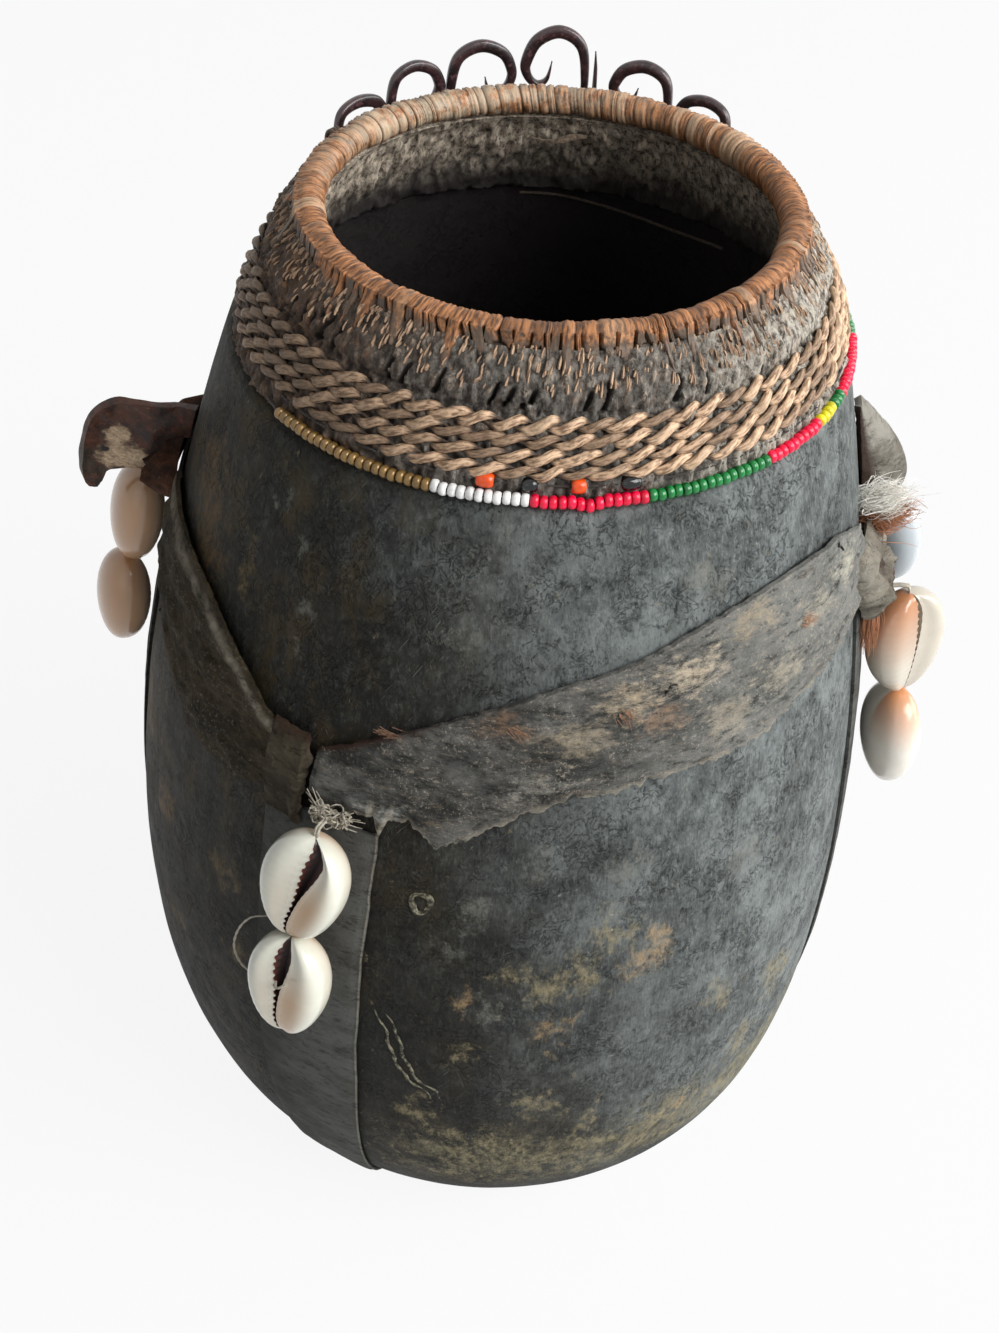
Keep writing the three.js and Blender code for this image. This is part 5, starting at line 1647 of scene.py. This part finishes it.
class VESSEL_OT_folds(bpy.types.Operator):
    """Fold and knots of hide where the bands and straps meet"""

    bl_idname = "vessel.folds"
    bl_label = "Folds and knots"

    def execute(self, context):
        finishes = {
            "fold_front": hide_finish("fold_hide", linear(78, 71, 57), linear(46, 40, 32), 0.15, 101),
            "knot_left": hide_finish("knot_hide_left", linear(94, 60, 44), linear(40, 26, 20), 0.15, 121),
        }
        grey = hide_finish("knot_hide", linear(150, 146, 134), linear(92, 86, 76), 0.8, 111)
        under = 2 * CLEAR + HIDE
        for seed, (name, (az, half, high, low, thick)) in enumerate(FOLDS.items()):
            front = name == "fold_front"
            pale_edge_and_highlight, burnt = [], []

            def place(u, v):
                t, side = 1 - v, 2 * u - 1
                drop_low = low - (4 if name == "knot_left" else 0)
                z = MOUTH_HEIGHT - high - (drop_low - high) * t
                wide = half * (0.72 + 0.28 * sin(pi * (0.15 + 0.7 * t)))
                if name == "knot_right" and side < 0:
                    wide *= 1.3 - 0.5 * t
                if name == "knot_left" and side > 0:
                    wide *= 1 - 0.1 * t
                swell = sin(pi * (0.14 + 0.5 * t))
                edge = min(1, (1 - abs(side)) * 4, min(t, 1 - t) * 8) ** 0.6
                flat = on_wall(az + wide * side, z, 0)
                crumple = rough(Vector((flat.x, flat.y, flat.z * 0.6)), 6, seed + 120, 4)
                ridge = 1 - 2 * abs(noise.noise(flat / (4.4 * MM) + Vector((seed, 0, 0))))
                uneven = 0.25 * crumple + 0.2 * ridge if front else 0.36 * crumple + 0.34 * ridge
                stand = (thick + 1.6 * (not front)) * swell
                lift = under * (0.75 + 0.25 * edge) + stand * edge * (0.6 + uneven)
                hollow = 0
                for x, y, reach, deep in HOLLOWS.get(name, ()):
                    near = exp(-((side - x) ** 2 + (t - y) ** 2) / reach**2)
                    lift -= deep * near * edge
                    hollow = max(hollow, near)
                least = under * 0.7
                if front:
                    melt = held((t - 0.45) / 0.5) * held((0.8 - side) * 2)
                    least -= 0.45 * melt
                    lift += (least - lift) * melt
                # Painted shade: the front fold's top and right edge, and the dents of the right knot.
                burnt.append(max(0, 1 - t * 7) * 0.8 + max(0, side - 0.86) * 3 if front else hollow)
                # Painted highlight on the front fold's right edge; pale on the right knot's ridges.
                pale_edge_and_highlight.append(max(0, (side - 0.92) * 8) * min(1, t * 2) * 0.6 if front else (
                    0.8 * max(0, ridge - 0.45) * (name == "knot_right")))
                if name == "knot_right":
                    lift -= max(0, side - 0.25) * 4.2 * edge
                rag = (0.6 if front else 0.4) * crumple + 0.5 * rough(flat, 2.4, seed + 124, 3) * (1 - edge)
                if name == "knot_left":
                    rag *= 0.3
                return on_wall(az + wide * side + rag, z + 0.7 * rag, max(lift, least))

            fold = grid(name + "_hide", 72, 72, place)
            painted(fold, edge=[held(value) for value in pale_edge_and_highlight], burnt=[held(value) for value in burnt])
            modified(fold, "SOLIDIFY", thickness=(0.7 if front else 1.1) * MM, offset=-1)
            smoothed(fold, 60)
            settle(fold, finishes.get(name, grey), "vessel", "band_hide", name)
        return {"FINISHED"}


def upright(az, spot, sideways=0):
    """A place in the upright plane at an azimuth, given as stand-off and drop."""
    z = MOUTH_HEIGHT - spot[1]
    return at(az, body_radius(z) + spot[0], z) + sideways_at(az) * sideways * MM


class VESSEL_OT_tab(bpy.types.Operator):
    """Stiff rawhide tab at the left knot, its outer edge rolled and hooked down"""

    bl_idname = "vessel.tab"
    bl_label = "Rawhide tab"

    def execute(self, context):
        top, foot = smooth_line(TAB_TOP, 60), smooth_line(TAB_FOOT, 60)

        def place(u, v):
            k = round(u * 60)
            off, drop = (a + (b - a) * (1 - v) for a, b in zip(top[k], foot[k]))
            off -= TAB_SHORT * min(1, off / 14)
            spot = upright(TAB_AZ, (off, drop))
            curl = 1.6 * max(0, (off - 15) / 6) ** 2 - 0.5
            buckle = 0.8 * rough(spot, 8, 131, 3) + 0.2 * rough(spot, 2.4, 132, 3)
            return upright(TAB_AZ, (off, drop), curl + buckle * min(1, off / 4))

        tab = grid("rawhide_tab", 60, 20, place)
        modified(tab, "SOLIDIFY", thickness=TAB_THICK * 0.85 * MM, offset=0)
        modified(tab, "BEVEL", width=0.7 * MM, segments=3, limit_method="ANGLE", angle_limit=60 * DEG)
        smoothed(tab, 60)
        settle(tab, rawhide_finish(), "vessel", "rawhide", "tab_left")
        return {"FINISHED"}


class VESSEL_OT_arch(bpy.types.Operator):
    """Leather tail that stands off the right knot like a leaf, folded in against the wall"""

    bl_idname = "vessel.arch"
    bl_label = "Leather tail"

    def execute(self, context):
        line = smooth_line(LEAF, 60)
        folded = []

        def place(u, v):
            off, drop = line[round(v * 60)]
            side = -0.5 * ARCH_WIDTH + 0.62 * ARCH_WIDTH * u * sin(pi * min(1, v * 0.55 + 0.3))
            stand = 0.1 + (off - 0.1) * sin(pi / 2 * u) ** 0.9
            spot = upright(ARCH_AZ, (stand, drop), side)
            bulge = 0.6 * sin(pi * u) + 0.45 * rough(spot, 7, 141) + 0.2 * rough(spot, 2, 142)
            # Painted shade where the leaf's inner edge meets the wall.
            folded.append(held(1.5 - u * (4.5 + 5 * v)))
            return upright(ARCH_AZ, (stand, drop + bulge * 0.3), side - bulge)

        arch = grid("leather_tail", 34, 60, place)
        painted(arch, burnt=folded)
        modified(arch, "SOLIDIFY", thickness=1.5 * MM, offset=0)
        modified(arch, "BEVEL", width=0.35 * MM, segments=2, limit_method="ANGLE", angle_limit=60 * DEG)
        smoothed(arch, 50)
        finish = hide_finish("tail_hide", linear(152, 148, 138), linear(108, 103, 94), 0.4, 145)
        settle(arch, finish, "vessel", "tail_hide", "arch_right")
        return {"FINISHED"}


def scatter(chance, reach=1):
    """A random shift in all three directions."""
    return Vector([chance.gauss(0, reach) for _ in range(3)])


def hair_lines(chance, root, tip, spread, count, length):
    """Hairs from round a root towards a tip, each a bent, tapering line."""
    lines = []
    way = tip - root
    for _ in range(count):
        start = root + scatter(chance) * spread * 0.5 * MM
        aim = way.normalized() * length * chance.uniform(0.6, 1.05) * MM
        aim += scatter(chance) * spread * 0.6 * MM
        bend = scatter(chance, 0.9) * spread * 0.5 * MM
        curl = chance.uniform(0.2, 0.7) * MM
        thick, phase = chance.uniform(0.09, 0.17), chance.uniform(0, 6)
        line = []
        for i in range(7):
            t = i / 6
            wave = Vector((0, 1, 1)) * curl * sin(5 * t + phase) * t
            line.append((start + aim * t + bend * sin(pi * t) + wave, thick * (1 - 0.75 * t)))
        lines.append(line)
    return lines


class VESSEL_OT_tufts(bpy.types.Operator):
    """Tufts of hair at the right knot"""

    bl_idname = "vessel.tufts"
    bl_label = "Hair tufts"

    def execute(self, context):
        finish = hair_finish()
        for seed, (name, az, root, tip, spread, count, pale) in enumerate(TUFTS):
            chance = random.Random(200 + seed)
            a, b = upright(az, root), upright(az, tip)
            length = (b - a).length / MM * size("hair_length") / 20
            tuft = tubes(name + "_hairs", hair_lines(chance, a, b, spread, count, length), 0)
            way = (b - a).normalized()
            high = (UP - way * way.z).normalized()
            painted(tuft, tip=[
                held(0.5 + (spot.co - a).dot(high) / (spread * 2 * MM) + pale
                           + 0.25 * (spot.co - a).dot(way) / (length * MM))
                for spot in tuft.data.vertices])
            settle(tuft, finish, "vessel", "hair", name)
        return {"FINISHED"}


def hang_matrix(az, z, off):
    """The space of a hanging point: x across, y inwards, z up along the wall."""
    up = (on_wall(az, z + 1, off) - on_wall(az, z - 1, off)).normalized()
    right = sideways_at(az)
    turn = Matrix((right, up.cross(right), up)).transposed().to_4x4()
    return Matrix.Translation(on_wall(az, z, off)) @ turn


def cowrie(name, length, width, slit_top, slit_foot, open_share, tan_from, fade, matrix):
    """A cowrie hanging from its pivot, its toothed slit facing away from the vessel."""
    rows, columns, lips = 96, 64, 4
    marks = []

    def place(u, v):
        s = (1 - cos(pi * v)) / 2
        swell = max(2 * sqrt(max(s * (1 - s), 0)) * (1 + 0.25 * (0.5 - s)), 0.02)
        half = width / 2 * swell
        behind = SHELL_THICK * SHELL_BACK * swell**0.9
        before = SHELL_THICK * (1 - SHELL_BACK) * swell**0.75
        middle = (slit_top + (slit_foot - slit_top) * s) * min(1, swell * 1.3)
        gap = (0.4 + 1.45 * exp(-((s - 0.18) / 0.26) ** 2)) * min(1, swell * 1.3) * open_share
        tooth = max(0, cos(tau * length * s / TOOTH_PITCH)) * min(1, swell * 1.2)
        k = round(u * columns) % columns
        side = k if k <= columns / 2 else k - columns
        sign = 1 if side >= 0 else -1
        drop = -SHELL_GAP - length * s
        edge = middle + sign * gap - sign * tooth * (0.5 if sign < 0 else 0.1)
        if abs(side) < lips:
            share = abs(side) / lips
            x = middle + (edge - middle) * min(1, share * 1.25) + sign * 0.25 * sin(pi * share)
            y = -before * 0.74 + 2.6 * swell * (1 - share) ** 1.3
            # The slit's inside is marked for painted shade.
            marks.append((0, 0, (1 - 0.5 * share**2) * (0.3 if fade else 1)))
            return matrix @ (Vector((x, y, drop)) * MM)
        t = (abs(side) - lips) / (columns / 2 - lips) * pi
        near = exp(-((t / 0.42) ** 2))
        if t <= pi / 2:
            x = edge + (sign * half - edge) * sin(t) ** 0.92
            y = -before * cos(t) ** (0.62 if open_share == 1 else 0.95) * (1 - 0.24 * near)
            y -= (0.55 if sign > 0 else 0.25) * swell * sin(2 * t) ** 2
        else:
            x = sign * half * sin(t) ** 0.92
            y = behind * (-cos(t)) ** 0.85
        y += 0.14 * tooth * near * (1 if sign < 0 else 0.25)
        if fade:
            marks.append((max(0, 1 - s / fade) if sign < 0 else 0, 0, 0))
        else:
            lip = exp(-(((t - 0.3) / 0.4) ** 2)) * held(s * 2.4 - 0.3) * (1 if sign > 0 else 0.25)
            # The third mark darkens the lip's edge at the slit as painted shade.
            marks.append((held((t - tan_from) / 1.1), lip, 0.3 * exp(-((t / 0.09) ** 2))))
        return matrix @ (Vector((x, y, drop)) * MM)

    shell = grid(name, columns, rows, place)
    painted(shell, **dict(zip(("back", "lip", "deep"), zip(*marks))))
    weld(shell, 1e-5)
    activate(shell)
    bpy.ops.object.mode_set(mode="EDIT")
    bpy.ops.mesh.select_all(action="DESELECT")
    bpy.ops.mesh.select_non_manifold()
    bpy.ops.mesh.fill()
    bpy.ops.object.mode_set(mode="OBJECT")
    edited(shell, (bpy.ops.mesh.normals_make_consistent, {"inside": False}))
    return smoothed(shell, 75)


class VESSEL_OT_cowries(bpy.types.Operator):
    """Cowrie shells on their threads, and the loop of thread beside the lower front one"""

    bl_idname = "vessel.cowries"
    bl_label = "Cowries"

    def execute(self, context):
        finishes = {"front": shell_finish("cowrie_shell", colour("shell"), colour("shell_tan"), 0.7, 1)}
        for key, (material, plain, tan, seed) in ENAMEL.items():
            finishes[key] = shell_finish(material, linear(*plain), linear(*tan), 1, seed)
        thread = thread_finish("link_thread", colour("thread"), linear(158, 150, 136))
        for name, (az, drop, off, face, yaw, shells) in PENDANTS.items():
            hang = hang_matrix(az, MOUTH_HEIGHT - drop, off)
            reach = off - face
            link = [((reach, 0.1), 1), ((reach * 0.5, 0.25), 1), ((0.3, 0.1), 1), ((0, -0.6), 1),
                    ((0, -LINK_DROP - 0.5), 0.9)]
            lines = []
            for ply in (-0.28, 0.28):
                lines.append([(hang @ (Vector((ply, y, z)) * MM), size("thread_thick") * 0.55 * share)
                              for (y, z), share in link])
            settle(tubes("link_" + name, lines, 1), thread, name + "_thread", "pale_thread",
                   "thread_link_" + name)
            step = -LINK_DROP - CLEAR / 2
            swing = hang
            for i, (length, width, roll, slit_top, slit_foot) in enumerate(shells):
                place = "" if len(shells) == 1 else ("_upper", "_lower")[i]
                swing = swing @ Matrix.Translation((0, 0, step * MM)) @ Matrix.Rotation(roll * DEG, 4, "Y")
                swing = swing @ Matrix.Rotation(TUCK[name][i] * DEG, 4, "X")
                wide, tan_from = (1, 1.35) if name == "front" else (0.35, 0.75)
                shell = cowrie("shell_" + name + place, length, width, slit_top, slit_foot, wide, tan_from,
                               (0.66, 0.42)[i] if name == "right" else 0,
                               swing @ Matrix.Rotation((yaw + YAW_MORE[name][i]) * DEG, 4, "Z"))
                settle(shell, finishes.get(name + place, finishes[name]), name + place + "_shell",
                       "cowrie_shell", "cowrie_" + name + place)
                if (name, i) == ("front", 1):
                    self.loop(swing, length, thread)
                step = -length - 2 * SHELL_GAP
        return {"FINISHED"}

    def loop(self, swing, length, thread):
        """A loop of thread beside the lower front shell, and a stitch of it over the slit."""
        def path(t):
            az, z, lift = route[round(t * 40)]
            return on_wall(az, z, lift), Vector((1, 0, 0)), Vector((0, -0.7, 0.7))

        route = smooth_line(LOOP, 40)
        lines = two_ply(path, 40, size("thread_thick") / 2, 9)
        lines.append([(swing @ (Vector((x, y, length * z)) * MM), size("thread_thick") * 0.45)
                      for x, y, z in SLIT_STITCH])
        settle(tubes("front_loop", lines, 1), thread, "front_lower_shell", "pale_thread")


class VESSEL_OT_knot(bpy.types.Operator):
    """Frayed thread knot over the front shells"""

    bl_idname = "vessel.knot"
    bl_label = "Thread knot"

    def execute(self, context):
        az, drop = PENDANTS["front"][:2]
        middle = MOUTH_HEIGHT - drop
        chance = random.Random(301)
        lines = []
        for i in range(KNOT_TURNS):
            centre = chance.uniform(-3, 3.4) / body_radius(middle) / DEG
            z, lift = middle + chance.uniform(-1, 1.3), chance.uniform(2.7, 5)
            turn, tall = chance.uniform(0, 6.3), chance.uniform(0.7, 1.5)
            line = []
            for k in range(9):
                a = turn + k * chance.uniform(0.45, 0.75)
                wide = cos(a) * tall / body_radius(middle) / DEG
                line.append((on_wall(az + centre + wide, z + sin(a) * tall * 0.8,
                                     lift + 0.6 * sin(2 * a + i)), 0.17))
            lines.append(line)
        for i, (side, rise) in enumerate(KNOT_ENDS):
            line = []
            for k in range(6):
                t = k / 5
                turn = side * t / body_radius(middle) / DEG
                lift = 4.6 - 1.1 * t + 0.4 * sin(3 * t + i)
                line.append((on_wall(az + turn, middle + rise * t, lift), 0.16 * (1 - 0.4 * t)))
            lines.append(line)
        pale = thread_finish("knot_thread", colour("thread"), linear(128, 120, 106))
        settle(tubes("frayed_knot", lines, 0), pale, "vessel", "pale_thread", "thread_knot_front")
        return {"FINISHED"}


class VESSEL_OT_crest(bpy.types.Operator):
    """Crest behind the mouth: band, six curled strips, a pin and two lashings"""

    bl_idname = "vessel.crest"
    bl_label = "Crest"

    def execute(self, context):
        finish = crest_finish()
        inner = collar_radius(COLLAR_HEIGHT - CREST_DROP) + CLEAR
        turns = [(az % CIRCLE, half) for az, half, _, _ in SCROLLS.values()]
        first = min(az - half for az, half in turns) - 4
        last = max(az + half for az, half in turns) + 4

        def band_place(u, v):
            turn = tau * v
            out = 0.5 + 0.5 * squarer(cos(turn), 0.5)
            up = 0.5 + 0.5 * squarer(sin(turn), 0.5)
            return at(first + (last - first) * u, inner + out * CREST_BAND,
                      CREST_FOOT + up * CREST_BAND_HEIGHT)

        band = weld(grid("crest_strip_band", 120, 16, band_place))
        settle(smoothed(band, 60), finish, "vessel", "crest_strip", "crest_band")
        radius = inner + CREST_BAND + CLEAR + CREST_DEPTH / 2
        for name, (az, half, rise, side) in SCROLLS.items():
            wide = half * radius * DEG - CREST_STRIP_SEEN / 2
            high = CREST_DROP + rise + (CREST_STRIP - CREST_STRIP_SEEN) / 2
            hook, tip = ((CREST_DROP + above) / high for above in CURLS[name])
            outline = [(1, 0), (1.02, 0.42), (0.8, 0.84), (0.08, 1), (-0.66, 0.88), (-0.98, 0.62),
                       (-0.96, (hook + 0.62) / 2), (-0.74, hook + 0.03), (-0.48, hook),
                       (-0.24, hook + 0.08), (-0.13, tip)]
            line = smooth_line([(u * wide * side, v * high) for u, v in outline], 90)

            def place(u, v):
                k = round(u * 90)
                before, beyond = line[max(k - 1, 0)], line[min(k + 1, 90)]
                along_u, along_v = beyond[0] - before[0], beyond[1] - before[1]
                long = hypot(along_u, along_v)
                taper = min(1, max(0.1, (1 - u) / 0.2)) ** 0.8
                broad = 0.72 + 0.5 * sin(pi * min(1, u * 1.3)) + 0.1 * sin(9 * u + az)
                thick = CREST_STRIP_SEEN * 0.5 * broad * taper
                turn = tau * v
                across = thick * squarer(cos(turn), 0.6)
                deep = CREST_DEPTH / 2 * squarer(sin(turn), 0.6)
                x = line[k][0] - along_v / long * across
                y = line[k][1] + along_u / long * across
                return at(az + x / radius / DEG, radius + deep * (0.4 + 0.6 * taper), CREST_FOOT + y)

            scroll = weld(grid(name + "_strip", 90, 12, place))
            settle(smoothed(scroll, 60), finish, "vessel", "crest_strip", name)
        pin = [(at(az, r, z), thick) for az, r, z, thick in PIN]
        settle(tubes("crest_pin", [pin], 1), finish, "vessel", "crest_strip")
        cord = thread_finish("lashing_fibre", linear(112, 92, 74), linear(70, 56, 46))
        for name, az in (("crest_lashing_right", first + 1.8), ("crest_lashing_left", last - 1.8)):
            lines = []
            for turn in (-0.85, 0, 0.85):
                line = []
                for k in range(25):
                    a = tau * k / 24
                    r = inner + CREST_BAND / 2 + (CREST_BAND / 2 + 0.75) * cos(a)
                    z = CREST_FOOT + CREST_BAND_HEIGHT / 2 + (CREST_BAND_HEIGHT / 2 + 0.75) * sin(a)
                    r = max(r, collar_radius(z - MOUTH_HEIGHT) - 0.1)
                    shift = sideways_at(az) * (turn + 0.35 * k / 24) * MM
                    line.append((at(az, r, z) + shift, 0.48))
                lines.append(line)
            settle(tubes(name + "_cord", lines, 1), cord, "vessel", "rim_fibre", name)
        return {"FINISHED"}


class VESSEL_PT_panel(bpy.types.Panel):
    """The steps of the build and their choices"""

    bl_idname = "VESSEL_PT_panel"
    bl_label = "Beaded milk vessel"
    bl_space_type = "VIEW_3D"
    bl_region_type = "UI"
    bl_category = "Vessel"

    def draw(self, context):
        for name in SIZES:
            self.layout.prop(context.scene.vessel_sizes, name)
        for name in COLOURS:
            self.layout.prop(context.scene.vessel_colours, name)
        for step in STEPS:
            self.layout.operator(step.bl_idname)


STEPS = [
    VESSEL_OT_stage, VESSEL_OT_body, VESSEL_OT_pad, VESSEL_OT_collar, VESSEL_OT_rim,
    VESSEL_OT_cord, VESSEL_OT_seed_beads, VESSEL_OT_large_beads, VESSEL_OT_strings,
    VESSEL_OT_bands, VESSEL_OT_straps, VESSEL_OT_folds, VESSEL_OT_tab, VESSEL_OT_arch,
    VESSEL_OT_tufts, VESSEL_OT_cowries, VESSEL_OT_knot, VESSEL_OT_crest,
]


def register():
    for kind in (VesselSizes, VesselColours, *STEPS, VESSEL_PT_panel):
        bpy.utils.register_class(kind)
    bpy.types.Scene.vessel_sizes = bpy.props.PointerProperty(type=VesselSizes)
    bpy.types.Scene.vessel_colours = bpy.props.PointerProperty(type=VesselColours)


def unregister():
    del bpy.types.Scene.vessel_sizes, bpy.types.Scene.vessel_colours
    for kind in reversed((VesselSizes, VesselColours, *STEPS, VESSEL_PT_panel)):
        bpy.utils.unregister_class(kind)


def main():
    register()
    for step in STEPS:
        group, name = step.bl_idname.split(".")
        getattr(getattr(bpy.ops, group), name)()


if __name__ == "__main__":
    main()
